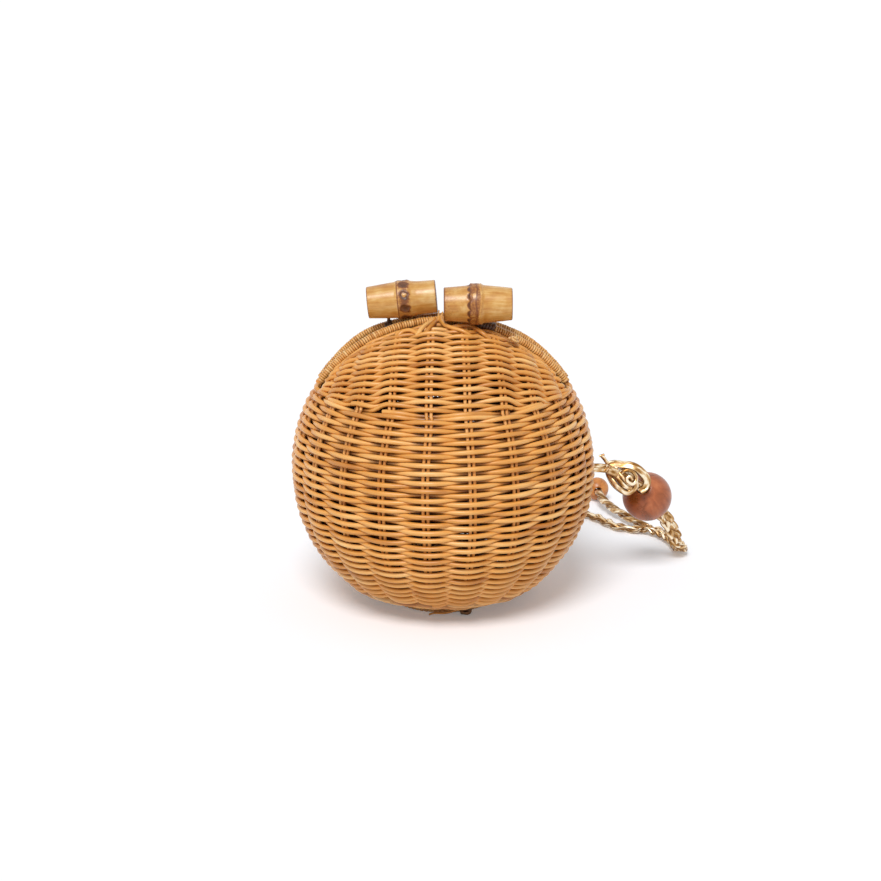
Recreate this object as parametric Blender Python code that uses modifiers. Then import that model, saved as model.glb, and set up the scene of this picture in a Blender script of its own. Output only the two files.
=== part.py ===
"""A ball-shaped rattan clutch: woven basket, two lips that open, a two-piece bamboo
clasp, and a plaited wrist strap with wooden beads. Metres, +Z up, resting on Z = 0.
The front faces -Y, and the mouth runs along X."""

import math

import bmesh
import bpy
from mathutils import Vector

# Clearances
touch_gap = 0.0003
seam_gap = 0.0007
fit_clearance = 0.0006
cut_overrun = 0.004
unit = 1.0

# Basket ball
ball_radius = 0.0925
weave_wall = 0.005
base_height_share = 0.84
bowl_edge_share = 0.55
ball_steps = 42

# Weave: its rows swell over every other stake in turn, drawn coarser than the strands
weave_swell = 0.0026
weave_band_height = 0.0076
weave_start_share = 0.2
round_weave_deg = 80

# Paired stakes inside the weave
stake_pairs = 21
stake_diameter = 0.002
stake_spacing = 0.0027
stake_phase_deg = -6.25
bowl_stake_points = 6
rod_sides = 6
stake_end_drop = 0.006

# Mouth, rims and the woven bands beside them
mouth_gap = 0.0048
rim_core_diameter = 0.0026
whipping_wall = 0.001
rim_inset = 0.0015
rim_end_clearance = 0.0038
rim_points = 25
lip_band = 0.012
lip_band_end = 0.0025
lip_reach_share = 0.7
shoulder_reach_share = 0.82
lip_band_count = 1

# Bamboo clasp
bamboo_diameter = 0.0214
left_bamboo_length = 0.0425
right_bamboo_length = 0.0415
left_bamboo_x = -0.0251
right_bamboo_x = 0.0206
left_bamboo_tilt_deg = -5.5
right_bamboo_tilt_deg = 0.5
left_bamboo_drop = 0.0018
right_bamboo_forward = 0.0135
bamboo_steps = 24
left_bamboo_shares = (
    (0.0, 0.78), (0.04, 0.84), (0.42, 0.90), (0.47, 0.98), (0.52, 0.98), (0.57, 0.92),
    (0.95, 0.98), (1.0, 0.93),
)
right_bamboo_shares = (
    (0.0, 0.82), (0.04, 0.88), (0.36, 0.92), (0.42, 1.0), (0.48, 0.99), (0.53, 0.90),
    (0.95, 0.90), (1.0, 0.84),
)

# Cane ties that hold the bamboo to the rims
tie_wall = 0.001
left_tie_width = 0.0045
right_tie_width = 0.0105
left_tie_x = -0.0325
right_tie_x = 0.0246
tie_post_diameter = 0.0038
tie_steps = 20

# Curled strand end on the front rim
curl_x = 0.0414
curl_radius = 0.0026
curl_thickness = 0.0012

# Base and foot
base_stick_diameter = 0.003
base_stick_count = 4
base_stick_spacing = 0.0075
base_stick_length = 0.076
stick_layer_share = 0.8
foot_radius = 0.033
foot_width = 0.006
foot_height = 0.0065
foot_chamfer = 0.0012
foot_knot_width = 0.008
foot_knot_azimuth_deg = 21.5

# Wrist strap: its own points were chosen by hand along its real route
lead_diameter = 0.0055
braid_diameter = 0.007
leg_diameter = 0.0052
twist_diameter = 0.0044
strap_point_spacing = 0.0065
knot_width = 0.0165
tail_diameter = 0.0022
big_bead_diameter = 0.0312
big_bead_bore = 0.0086
small_bead_diameter = 0.0164
small_bead_bore = 0.0058
bead_steps = 24
bead_rows = 10
big_bead_centre = Vector((0.1297, 0.0450, 0.0508))
small_bead_centre = Vector((0.1108, 0.2033, 0.0085))
lead_route = (
    Vector((0.0911, 0.0148, 0.0784)),
    Vector((0.0965, 0.0166, 0.0779)),
    Vector((0.1012, 0.0182, 0.0770)),
)
knot_ends = (
    Vector((0.1015, 0.0183, 0.0770)),
    Vector((0.1261, 0.0353, 0.0594)),
)
tail_route = (
    Vector((0.1023, 0.0220, 0.0787)),
    Vector((0.1003, 0.0227, 0.0817)),
    Vector((0.0984, 0.0231, 0.0840)),
)
braid_route = (
    Vector((0.1326, 0.0531, 0.0440)),
    Vector((0.1348, 0.0572, 0.0393)),
    Vector((0.1416, 0.0598, 0.0345)),
    Vector((0.1476, 0.0639, 0.0242)),
    Vector((0.1537, 0.0719, 0.0100)),
    Vector((0.1564, 0.0812, 0.0042)),
    Vector((0.1534, 0.1018, 0.0040)),
    Vector((0.1470, 0.1161, 0.0040)),
    Vector((0.1387, 0.1247, 0.0040)),
)
leg_route = (
    Vector((0.1364, 0.1230, 0.0030)),
    Vector((0.1342, 0.1249, 0.0030)),
    Vector((0.1290, 0.1264, 0.0030)),
    Vector((0.1187, 0.1323, 0.0030)),
    Vector((0.1092, 0.1481, 0.0030)),
    Vector((0.1013, 0.1584, 0.0030)),
    Vector((0.0875, 0.1633, 0.0032)),
    Vector((0.0728, 0.1540, 0.0050)),
    Vector((0.0640, 0.1348, 0.0114)),
    Vector((0.0608, 0.1141, 0.0266)),
    Vector((0.0641, 0.0972, 0.0456)),
    Vector((0.0709, 0.0845, 0.0638)),
    Vector((0.0712, 0.0711, 0.0735)),
    Vector((0.0651, 0.0650, 0.0753)),
)
twist_route = (
    Vector((0.1397, 0.1268, 0.0040)),
    Vector((0.1376, 0.1288, 0.0040)),
    Vector((0.1293, 0.1431, 0.0048)),
    Vector((0.1185, 0.1638, 0.0064)),
    Vector((0.1121, 0.1835, 0.0079)),
    Vector((0.1111, 0.1972, 0.0085)),
)

# Places that follow from the sizes above
ball_centre_height = foot_height + touch_gap + ball_radius * base_height_share
ball_centre = Vector((0, 0, ball_centre_height))
inner_share = (ball_radius - weave_wall) / ball_radius
bowl_edge_height = ball_radius * bowl_edge_share
bowl_edge_lift = math.asin(bowl_edge_share)
bowl_base_lift = -math.asin(base_height_share)
bowl_edge_reach = math.sqrt(ball_radius**2 - bowl_edge_height**2)
rim_radius = rim_core_diameter / 2 + touch_gap + whipping_wall
rim_offset = mouth_gap / 2 + rim_radius
rim_path_radius = math.sqrt((ball_radius - rim_inset) ** 2 - rim_offset**2)
mouth_edge = rim_offset + rim_radius + touch_gap
bamboo_radius = bamboo_diameter / 2
left_bamboo_height = rim_path_radius - left_bamboo_drop + math.sqrt(
    (bamboo_radius + rim_radius + touch_gap) ** 2 - rim_offset**2
)
left_bamboo_place = ball_centre + Vector((left_bamboo_x, 0, left_bamboo_height))
right_bamboo_height = math.sqrt((ball_radius + bamboo_radius) ** 2 - right_bamboo_forward**2)
right_bamboo_place = ball_centre + Vector(
    (right_bamboo_x, -right_bamboo_forward, right_bamboo_height)
)

# Colours, roughness and metallic values
rattan_tan = (0.485, 0.210, 0.050)
stake_tan = (0.400, 0.165, 0.040)
peel_tan = (0.560, 0.260, 0.075)
bamboo_pale = (0.620, 0.360, 0.140)
cane_brown = (0.110, 0.045, 0.018)
leather_gold = (0.520, 0.320, 0.130)
bead_brown = (0.270, 0.080, 0.030)
bead_orange = (0.580, 0.230, 0.055)


def clear_scene():
    for item in list(bpy.data.objects):
        bpy.data.objects.remove(item)


def new_collection(name):
    collection = bpy.data.collections.new(name)
    bpy.context.scene.collection.children.link(collection)
    return collection


def make_material(name, colour, roughness, metallic=0):
    material = bpy.data.materials.new(name)
    material.use_nodes = True
    shader = material.node_tree.nodes["Principled BSDF"]
    shader.inputs["Base Color"].default_value = (*colour, unit)
    shader.inputs["Roughness"].default_value = roughness
    shader.inputs["Metallic"].default_value = metallic
    return material


def add_part(name, data, material, location=(0, 0, 0)):
    part = bpy.data.objects.new(name, data)
    part.location = location
    data.materials.clear()
    data.materials.append(material)
    parts.objects.link(part)
    return part


def add_cutter(name, data, location=(0, 0, 0)):
    cutter = bpy.data.objects.new(name, data)
    cutter.location = location
    cutter.hide_render = True
    cutter.display_type = "WIRE"
    cutters.objects.link(cutter)
    return cutter


def shade_round(mesh, sharp_from_deg=40):
    mesh.shade_smooth()
    mesh.set_sharp_from_angle(angle=math.radians(sharp_from_deg))


def mesh_from(bm, name, sharp_from_deg=40):
    bmesh.ops.recalc_face_normals(bm, faces=bm.faces)
    mesh = bpy.data.meshes.new(name)
    bm.to_mesh(mesh)
    bm.free()
    shade_round(mesh, sharp_from_deg)
    return mesh


def profile_mesh(name, points, closed):
    """A turned shape's profile: outer side from top to bottom, in the XZ plane."""
    bm = bmesh.new()
    corners = [bm.verts.new((reach, 0, height)) for reach, height in points]
    for first, second in zip(corners, corners[1:]):
        bm.edges.new((first, second))
    if closed:
        bm.edges.new((corners[-1], corners[0]))
    mesh = bpy.data.meshes.new(name)
    bm.to_mesh(mesh)
    bm.free()
    return mesh


def ring_mesh(name, radius, thickness, section_steps):
    """A round section at +X, to be turned into a ring."""
    section = [
        (
            radius + thickness / 2 * math.cos(math.tau * i / section_steps),
            -thickness / 2 * math.sin(math.tau * i / section_steps),
        )
        for i in range(section_steps)
    ]
    return profile_mesh(name, section, closed=True)


def turn(part, steps):
    screw = part.modifiers.new("Turned", "SCREW")
    screw.steps = steps
    screw.render_steps = steps
    screw.use_smooth_shade = True
    screw.use_merge_vertices = True
    screw.merge_threshold = touch_gap / 10
    return screw


def boolean(part, cutter, operation):
    modifier = part.modifiers.new(operation.capitalize(), "BOOLEAN")
    modifier.operation = operation
    modifier.object = cutter
    return modifier


def tube_curve(name, routes, diameter, resolution):
    curve = bpy.data.curves.new(name, "CURVE")
    curve.dimensions = "3D"
    curve.bevel_depth = diameter / 2
    curve.bevel_resolution = resolution
    curve.use_fill_caps = True
    for route in routes:
        spline = curve.splines.new("POLY")
        spline.points.add(len(route) - 1)
        for point, place in zip(spline.points, route):
            point.co = (*place, unit)
            point.radius = unit
    return curve


def tube_mesh(name, routes, diameter, resolution):
    """Rods as one mesh with welded caps, which a Boolean can take."""
    guide = bpy.data.objects.new(name, tube_curve(name, routes, diameter, resolution))
    bpy.context.scene.collection.objects.link(guide)
    evaluated = guide.evaluated_get(bpy.context.evaluated_depsgraph_get())
    mesh = bpy.data.meshes.new_from_object(evaluated)
    bpy.data.objects.remove(guide)
    bm = bmesh.new()
    bm.from_mesh(mesh)
    bmesh.ops.remove_doubles(bm, verts=bm.verts, dist=touch_gap / 10)
    return mesh_from(bm, name)


def smooth_route(points, spacing):
    """Evenly spaced points on a smooth curve through the route's own points."""
    ends = [points[0] * 2 - points[1], *points, points[-1] * 2 - points[-2]]
    fine = []
    samples = 24
    for before, start, end, after in zip(ends, ends[1:], ends[2:], ends[3:]):
        for sample in range(samples):
            t = sample / samples
            fine.append(
                (
                    start * 2
                    + (end - before) * t
                    + (before * 2 - start * 5 + end * 4 - after) * t**2
                    + (start * 3 - end * 3 + after - before) * t**3
                )
                / 2
            )
    fine.append(points[-1].copy())
    lengths = [0]
    for first, second in zip(fine, fine[1:]):
        lengths.append(lengths[-1] + (second - first).length)
    count = max(2, round(lengths[-1] / spacing))
    route = []
    index = 0
    for step in range(count + 1):
        target = lengths[-1] * step / count
        while index < len(fine) - 2 and lengths[index + 1] < target:
            index += 1
        span = lengths[index + 1] - lengths[index]
        route.append(fine[index].lerp(fine[index + 1], (target - lengths[index]) / span))
    return route, lengths[-1]


def on_ball(azimuth, lift, radius=ball_radius):
    """A point of a ball round the origin; azimuth 0 is the front, -Y."""
    flat = radius * math.cos(lift)
    return Vector(
        (flat * math.sin(azimuth), -flat * math.cos(azimuth), radius * math.sin(lift))
    )


def slice_radius(across):
    """Radius of the ball's cross-section at a distance from its centre along X."""
    return math.sqrt(ball_radius**2 - across**2)


def band_width(across):
    """Width of the woven band that moves with a rim, which narrows to the corners."""
    share = min(1, abs(across) / (ball_radius * lip_reach_share))
    return lip_band_end + (lip_band - lip_band_end) * (1 - share**2)


def mouth_lean(across):
    """Angle from upright of the wall's edge beside the rim."""
    return math.asin(mouth_edge / slice_radius(across))


def band_lean(across):
    return mouth_lean(across) + band_width(across) / slice_radius(across)


def shoulder_top_lean(across):
    return band_lean(across) + seam_gap / slice_radius(across)


def shoulder_bottom_lean(across):
    edge = bowl_edge_height + seam_gap
    return math.acos(min(1, edge / slice_radius(across)))


def stake_azimuth(stake):
    return math.radians(stake_phase_deg) + math.tau * stake / stake_pairs


def stake_at(azimuth):
    return (azimuth - math.radians(stake_phase_deg)) * stake_pairs / math.tau


def weave_depth(ring, stake):
    """How far the wall draws in. Even rings run along the grooves between the rows, and
    odd ones along their middles, which swell over every other stake."""
    if ring % 2 == 0:
        return weave_swell
    swell = math.cos(math.pi * (stake + ring // 2))
    return weave_swell * (1 - swell) / 2


def wall_from(bm, name, material):
    """Closes a grid on the ball's outside with the smooth inner side of its wall. The
    long diagonals run from each swell, so that its two ends taper alike."""
    bmesh.ops.triangulate(bm, faces=bm.faces[:], quad_method="LONG_EDGE")
    grown = bmesh.ops.extrude_face_region(bm, geom=bm.faces[:], use_keep_orig=True)
    for item in grown["geom"]:
        if isinstance(item, bmesh.types.BMVert):
            item.co = item.co.normalized() * ball_radius * inner_share
    return add_part(name, mesh_from(bm, name, round_weave_deg), material, ball_centre)


def weave_patch(name, side, reach, bands, swell_share, top_lean, bottom_lean, material):
    """A closed piece of the ball's wall; side is -1 in front and 1 at the back."""
    middle = 0 if side < 0 else math.pi
    spread = math.asin(ball_radius * reach / bowl_edge_reach)
    first = math.floor(2 * stake_at(middle - spread))
    last = math.ceil(2 * stake_at(middle + spread))
    bm = bmesh.new()
    bmesh.ops.create_grid(bm, x_segments=last - first, y_segments=2 * bands, size=unit)
    for vertex in bm.verts:
        stake = (first + (last - first) * (vertex.co.x + unit) / 2) / 2
        across = bowl_edge_reach * math.sin(stake_azimuth(stake))
        across = max(-ball_radius * reach, min(ball_radius * reach, across))
        share = (vertex.co.y + unit) / 2
        lean = top_lean(across) * share + bottom_lean(across) * (1 - share)
        flat = slice_radius(across)
        vertex.co = (across, side * flat * math.sin(lean), flat * math.cos(lean))
        if 0 < share < unit:
            height = abs(bottom_lean(across) - top_lean(across))
            swell = swell_share * height / abs(bottom_lean(0) - top_lean(0))
            depth = swell * weave_depth(round(2 * bands * share), stake)
            vertex.co *= 1 - depth / ball_radius
    return wall_from(bm, name, material)


def build_bowl(material):
    """The woven wall from the base up to the foot of the shoulders. Its rows climb by
    one a turn, as the weaver does, because the number of stakes is odd."""
    span = bowl_edge_lift - bowl_base_lift
    bands = round(ball_radius * span / weave_band_height)
    rings = 2 * (bands + 1)
    bm = bmesh.new()
    bmesh.ops.create_grid(bm, x_segments=2 * stake_pairs, y_segments=rings, size=unit)
    for vertex in bm.verts:
        stake = stake_pairs * (vertex.co.x + unit) / 2
        ring = round(rings * (unit - vertex.co.y) / 2)
        row = ring / 2 - stake / stake_pairs
        depth = weave_depth(ring, stake)
        if row < weave_start_share:
            row, depth = 0, 0
        elif row > bands - weave_start_share:
            row, depth = bands, 0
        lift = bowl_edge_lift - span * row / bands
        vertex.co = on_ball(stake_azimuth(stake), lift, ball_radius - depth)
    bmesh.ops.remove_doubles(bm, verts=bm.verts, dist=touch_gap / 10)
    return wall_from(bm, "bowl_weave", material)


def stake_radius():
    return ball_radius - weave_wall - fit_clearance - touch_gap - stake_diameter / 2


def stake_route(azimuth, offset, start_lift, end_lift, count):
    """One rod of a pair, which stays parallel to its partner up the wall."""
    radius = stake_radius()
    sideways = Vector((math.cos(azimuth), math.sin(azimuth), 0)) * offset
    lifts = [start_lift + (end_lift - start_lift) * i / (count - 1) for i in range(count)]
    return [on_ball(azimuth, lift, radius) + sideways for lift in lifts]


def build_stakes(material):
    """The rods of every pair, held together by the ring that they start from."""
    bottom = bowl_base_lift + stake_end_drop / ball_radius
    top = bowl_edge_lift - seam_gap / ball_radius
    routes = [
        stake_route(stake_azimuth(stake), offset, bottom, top, bowl_stake_points)
        for stake in range(stake_pairs)
        for offset in (-stake_spacing / 2, stake_spacing / 2)
    ]
    rods = tube_mesh("bowl_stakes", routes, stake_diameter, 0)
    part = add_part("bowl_stakes", rods, material, ball_centre)
    ring_lift = bottom + stake_diameter / stake_radius()
    start = on_ball(0, ring_lift, stake_radius())
    ring = ring_mesh("stake_ring", -start.y, stake_diameter, rod_sides)
    holder = add_cutter("stake_ring", ring, ball_centre + Vector((0, 0, start.z)))
    turn(holder, ball_steps)
    boolean(part, holder, "UNION")


def build_walls(material):
    height = ball_radius * (shoulder_bottom_lean(0) - shoulder_top_lean(0))
    bands = round(height / weave_band_height)
    lips = {}
    for word, side in (("front", -1), ("back", 1)):
        weave_patch(
            f"{word}_shoulder_weave", side, shoulder_reach_share, bands, unit,
            shoulder_top_lean, shoulder_bottom_lean, material,
        )
        lips[side] = weave_patch(
            f"{word}_lip_weave", side, lip_reach_share, lip_band_count, 0,
            mouth_lean, band_lean, material,
        )
    return lips


def rim_route(side):
    start = bowl_edge_lift + rim_end_clearance / rim_path_radius
    route = []
    for index in range(rim_points):
        lift = start + (math.pi - 2 * start) * index / (rim_points - 1)
        route.append(
            Vector(
                (
                    -rim_path_radius * math.cos(lift),
                    side * rim_offset,
                    rim_path_radius * math.sin(lift),
                )
            )
        )
    return route


def build_rims(core_material, peel_material):
    for word, side in (("front", -1), ("back", 1)):
        core = tube_curve(f"{word}_rim_core", [rim_route(side)], rim_core_diameter, 1)
        add_part(f"{word}_rim_core", core, core_material, ball_centre)
        peel = tube_curve(
            f"{word}_rim_whipping", [rim_route(side)], 2 * (rim_radius - whipping_wall), 2
        )
        peel.use_fill_caps = False
        part = add_part(f"{word}_rim_whipping", peel, peel_material, ball_centre)
        shell = part.modifiers.new("Peel thickness", "SOLIDIFY")
        shell.thickness = whipping_wall
        shell.offset = 1
        shell.use_even_offset = True


def bamboo_profile(length, shares, growth=0):
    """The root's outline, turned about its own length, which runs along Z."""
    half = length / 2 + growth
    radius = bamboo_radius
    points = [(radius * r + growth, half - 2 * half * at) for at, r in shares]
    return [(0, half), *points, (0, -half)]


def lay_along_x(part, tilt_deg):
    part.rotation_euler = (0, -math.pi / 2 + math.radians(tilt_deg), 0)


def build_bamboo(material):
    pieces = (
        ("bamboo_left", left_bamboo_length, left_bamboo_shares, left_bamboo_place,
         left_bamboo_tilt_deg),
        ("bamboo_right", right_bamboo_length, right_bamboo_shares, right_bamboo_place,
         right_bamboo_tilt_deg),
    )
    grown = {}
    for name, length, shares, place, tilt in pieces:
        mesh = profile_mesh(name, bamboo_profile(length, shares), closed=False)
        part = add_part(name, mesh, material, place)
        lay_along_x(part, tilt)
        turn(part, bamboo_steps)
        outline = bamboo_profile(length, shares, growth=touch_gap)
        cutter_mesh = profile_mesh(f"{name}_clearance", outline, closed=False)
        cutter = add_cutter(f"{name}_clearance", cutter_mesh, place)
        lay_along_x(cutter, tilt)
        turn(cutter, bamboo_steps)
        grown[name] = cutter
    return grown


def cylinder_mesh(name, radius, length, steps):
    bm = bmesh.new()
    bmesh.ops.create_cone(
        bm, cap_ends=True, segments=steps, radius1=radius, radius2=radius, depth=length
    )
    return mesh_from(bm, name)


def build_ties(bamboo_cutters, lips, material):
    """A cane sleeve round the rim, through the weave, with a post that leans to the bamboo."""
    pieces = (
        ("left_tie", left_tie_x, left_tie_width, 1, "bamboo_left", left_bamboo_place),
        ("right_tie", right_tie_x, right_tie_width, -1, "bamboo_right", right_bamboo_place),
    )
    bore_radius = rim_radius + fit_clearance
    for name, across, width, side, bamboo, bamboo_place in pieces:
        rise = math.sqrt(rim_path_radius**2 - across**2)
        seat = ball_centre + Vector((across, side * rim_offset, rise))
        slope = math.asin(across / rim_path_radius)
        sleeve = cylinder_mesh(name, bore_radius + tie_wall, width, tie_steps)
        part = add_part(name, sleeve, material, seat)
        part.rotation_euler = (0, math.pi / 2 + slope, 0)
        reach = Vector((0, bamboo_place.y - seat.y, bamboo_place.z - seat.z))
        post_mesh = cylinder_mesh(
            f"{name}_post", tie_post_diameter / 2, reach.length, tie_steps
        )
        post = add_cutter(f"{name}_post", post_mesh, seat + reach / 2)
        post.rotation_euler = (math.atan2(-reach.y, reach.z), 0, 0)
        bore_mesh = cylinder_mesh(
            f"{name}_bore", bore_radius, width + 2 * cut_overrun, tie_steps
        )
        bore = add_cutter(f"{name}_bore", bore_mesh, seat)
        bore.rotation_euler = part.rotation_euler
        boolean(part, post, "UNION")
        boolean(part, bore, "DIFFERENCE")
        boolean(part, bamboo_cutters[bamboo], "DIFFERENCE")
        notch_mesh = cylinder_mesh(
            f"{name}_notch",
            bore_radius + tie_wall + touch_gap,
            width + 2 * touch_gap,
            tie_steps,
        )
        notch = add_cutter(f"{name}_notch", notch_mesh, seat)
        notch.rotation_euler = part.rotation_euler
        boolean(lips[side], notch, "DIFFERENCE")


def build_curl(material):
    """A strand end curled into a small ring on the weave below the front rim."""
    name = "rim_curl"
    across = curl_x
    lean = band_lean(across) - curl_radius / ball_radius
    ring = slice_radius(across)
    outward = Vector((across, -ring * math.sin(lean), ring * math.cos(lean))).normalized()
    place = ball_centre + outward * (ball_radius + curl_thickness / 2 + touch_gap)
    mesh = ring_mesh(name, curl_radius, curl_thickness, rod_sides)
    part = add_part(name, mesh, material, place)
    part.rotation_euler = outward.to_track_quat("Z", "Y").to_euler()
    turn(part, bamboo_steps)


def build_base(weave_material, stick_material):
    bottom = ball_radius * math.sin(bowl_base_lift)
    top = bottom * inner_share
    bottom_reach = ball_radius * math.cos(bowl_base_lift) - seam_gap
    top_reach = bottom_reach * inner_share
    profile = ((0, top), (top_reach, top), (bottom_reach, bottom), (0, bottom))
    mesh = profile_mesh("base_weave", profile, closed=False)
    turn(add_part("base_weave", mesh, weave_material, ball_centre), ball_steps)
    layers = []
    half = base_stick_length / 2
    for along_x in (True, False):
        routes = []
        for index in range(base_stick_count):
            offset = (index - (base_stick_count - 1) / 2) * base_stick_spacing
            if along_x:
                ends = (Vector((-half, offset, 0)), Vector((half, offset, 0)))
            else:
                ends = (Vector((offset, -half, 0)), Vector((offset, half, 0)))
            routes.append(ends)
        layers.append(tube_mesh("base_cross", routes, base_stick_diameter, 2))
    height = ball_centre_height + top + touch_gap + base_stick_diameter / 2
    pierced, threaded = layers
    part = add_part("base_cross", pierced, stick_material, (0, 0, height))
    height += base_stick_diameter * stick_layer_share
    upper = add_cutter("base_cross_upper", threaded, (0, 0, height))
    boolean(part, upper, "UNION")


def build_foot(material, knot_material):
    inner = foot_radius - foot_width
    profile = (
        (foot_radius - foot_chamfer, foot_height),
        (foot_radius, foot_height - foot_chamfer),
        (foot_radius, foot_chamfer),
        (foot_radius - foot_chamfer, 0),
        (inner + foot_chamfer, 0),
        (inner, foot_chamfer),
        (inner, foot_height - foot_chamfer),
        (inner + foot_chamfer, foot_height),
    )
    mesh = profile_mesh("foot_ring", profile, closed=True)
    turn(add_part("foot_ring", mesh, material), ball_steps)
    bm = bmesh.new()
    knot_steps = 14
    knot_height = foot_height - 2 * touch_gap
    bmesh.ops.create_uvsphere(
        bm, u_segments=knot_steps, v_segments=knot_steps // 2, radius=foot_knot_width / 2
    )
    bmesh.ops.scale(bm, vec=(unit, unit, knot_height / foot_knot_width), verts=bm.verts)
    azimuth = math.radians(foot_knot_azimuth_deg)
    reach = foot_radius + touch_gap + foot_knot_width / 2
    place = on_ball(azimuth, 0, reach) + Vector((0, 0, foot_height / 2))
    add_part("foot_knot", mesh_from(bm, "foot_knot"), knot_material, place)


def build_bead(name, centre, diameter, bore, direction, material):
    """A turned ball with a bore along the cord."""
    radius = diameter / 2
    bore_radius = bore / 2
    start = math.asin(bore_radius / radius)
    profile = []
    for row in range(bead_rows + 1):
        angle = start + (math.pi - 2 * start) * row / bead_rows
        profile.append((radius * math.sin(angle), radius * math.cos(angle)))
    mesh = profile_mesh(name, profile, closed=True)
    part = add_part(name, mesh, material, centre)
    part.rotation_euler = direction.to_track_quat("Z", "Y").to_euler()
    turn(part, bead_steps)


def build_strap(leather, big_material, small_material):
    routes = (
        ("strap_lead", lead_route, lead_diameter),
        ("strap_knot_tail", tail_route, tail_diameter),
        ("strap_braid", braid_route, braid_diameter),
        ("strap_braid_leg", leg_route, leg_diameter),
        ("strap_twist_leg", twist_route, twist_diameter),
    )
    for name, points, diameter in routes:
        route, length = smooth_route(points, min(strap_point_spacing, diameter * 2))
        add_part(name, tube_curve(name, [route], diameter, 2), leather)
        print(f"{name} is {length:.4f} m long")
    start, end = knot_ends
    along = end - start
    bm = bmesh.new()
    knot_steps = 16
    bmesh.ops.create_uvsphere(
        bm, u_segments=knot_steps, v_segments=knot_steps // 2 + 2, radius=knot_width / 2
    )
    bmesh.ops.scale(bm, vec=(unit, unit, along.length / knot_width), verts=bm.verts)
    knot = add_part("strap_knot", mesh_from(bm, "strap_knot"), leather, (start + end) / 2)
    knot.rotation_euler = along.to_track_quat("Z", "Y").to_euler()
    bm = bmesh.new()
    bmesh.ops.create_uvsphere(
        bm, u_segments=bead_steps, v_segments=bead_rows,
        radius=big_bead_diameter / 2 + fit_clearance,
    )
    seat = add_cutter("knot_seat", mesh_from(bm, "knot_seat"), big_bead_centre)
    boolean(knot, seat, "DIFFERENCE")
    build_bead(
        "big_bead", big_bead_centre, big_bead_diameter, big_bead_bore,
        braid_route[0] - knot_ends[1], big_material,
    )
    build_bead(
        "small_bead", small_bead_centre, small_bead_diameter, small_bead_bore,
        small_bead_centre - twist_route[-1], small_material,
    )


clear_scene()
parts = new_collection("rattan_clutch")
cutters = new_collection("cutters")
rattan = make_material("rattan_weave", rattan_tan, 0.5)
stakes = make_material("rattan_stakes", stake_tan, 0.55)
peel = make_material("cane_peel", peel_tan, 0.4)
bamboo = make_material("bamboo_root", bamboo_pale, 0.3)
brown_cane = make_material("brown_cane", cane_brown, 0.45)
gold_leather = make_material("gold_leather", leather_gold, 0.35, 0.85)
brown_bead = make_material("brown_bead", bead_brown, 0.35)
orange_bead = make_material("orange_bead", bead_orange, 0.35)

build_bowl(rattan)
lips = build_walls(rattan)
build_stakes(stakes)
build_rims(stakes, peel)
build_ties(build_bamboo(bamboo), lips, brown_cane)
build_curl(peel)
build_base(rattan, stakes)
build_foot(rattan, peel)
build_strap(gold_leather, brown_bead, orange_bead)
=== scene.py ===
"""A ball-shaped rattan clutch on a white table: every weaver, stake, rim wrap and lace is
its own strand. Metres, +Z up. The front faces -Y and the mouth runs along X."""

import math

import bpy
import numpy as np
from mathutils import Matrix, Vector


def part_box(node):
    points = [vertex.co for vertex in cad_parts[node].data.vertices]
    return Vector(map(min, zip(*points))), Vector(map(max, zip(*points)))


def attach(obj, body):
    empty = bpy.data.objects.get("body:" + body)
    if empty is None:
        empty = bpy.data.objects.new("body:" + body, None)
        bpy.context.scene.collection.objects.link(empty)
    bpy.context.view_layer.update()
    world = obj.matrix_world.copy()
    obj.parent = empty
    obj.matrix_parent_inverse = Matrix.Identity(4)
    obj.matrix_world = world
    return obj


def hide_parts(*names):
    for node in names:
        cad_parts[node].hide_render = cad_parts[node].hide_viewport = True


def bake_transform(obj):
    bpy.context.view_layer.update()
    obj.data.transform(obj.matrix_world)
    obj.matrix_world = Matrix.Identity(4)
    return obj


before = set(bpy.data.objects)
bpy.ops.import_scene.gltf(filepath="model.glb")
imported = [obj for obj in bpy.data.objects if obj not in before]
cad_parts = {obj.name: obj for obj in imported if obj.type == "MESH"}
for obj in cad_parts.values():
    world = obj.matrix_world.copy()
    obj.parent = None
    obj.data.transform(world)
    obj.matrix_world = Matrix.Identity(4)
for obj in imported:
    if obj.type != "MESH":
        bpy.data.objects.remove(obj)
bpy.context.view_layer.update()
rng = np.random.default_rng(21)
mm = 0.001

# Basket ball and mouth, as in the CAD
ball_radius = 92.5 * mm
bowl_edge = 50.875 * mm
ball_centre = np.array((0.0, 0.0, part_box("bowl_weave")[1].z - bowl_edge))
wall_drop = 0.79 * ball_radius
stake_pairs = 21
stake_phase = math.radians(-6.25)
mouth_edge = 7.9 * mm
rim_offset = 5.0 * mm
rim_radius = 2.6 * mm
rim_path_radius = 90.86 * mm

# Cane sizes
weaver_width = 2.95 * mm
weaver_height_share = 1.04
weaver_swing = 2.15 * mm
wall_middle = ball_radius - weaver_swing - weaver_width / 2
stake_width = 2.0 * mm
stake_spacing = 2.7 * mm
bowl_pitch = 2.53 * mm
samples_per_stake = 10

# Rows of a cap, which lie wider apart beside the rim
cap_rows = 28
close_rows = 20
close_pitch = 2.66 * mm
loose_pitch = 3.6 * mm

# Painted shade: strands darken deep in the wall, and along the edges of the others
shade_start = -1.5 * mm
shade_depth = 2.2 * mm
edge_darkening = 0.5

# Folds sharper than this stay crisp
strand_fold = math.radians(60)
turned_fold = math.radians(50)

# Camera and picture
camera_distance = 1.2
camera_rise = math.radians(16)
focal_px = 1970
picture_px = 881
ball_px = (443, 465)


# Strand making
def unit(vectors):
    """Vectors brought to length 1."""
    tiny = 1e-12
    return vectors / np.maximum(np.linalg.norm(vectors, axis=-1, keepdims=True), tiny)


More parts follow.
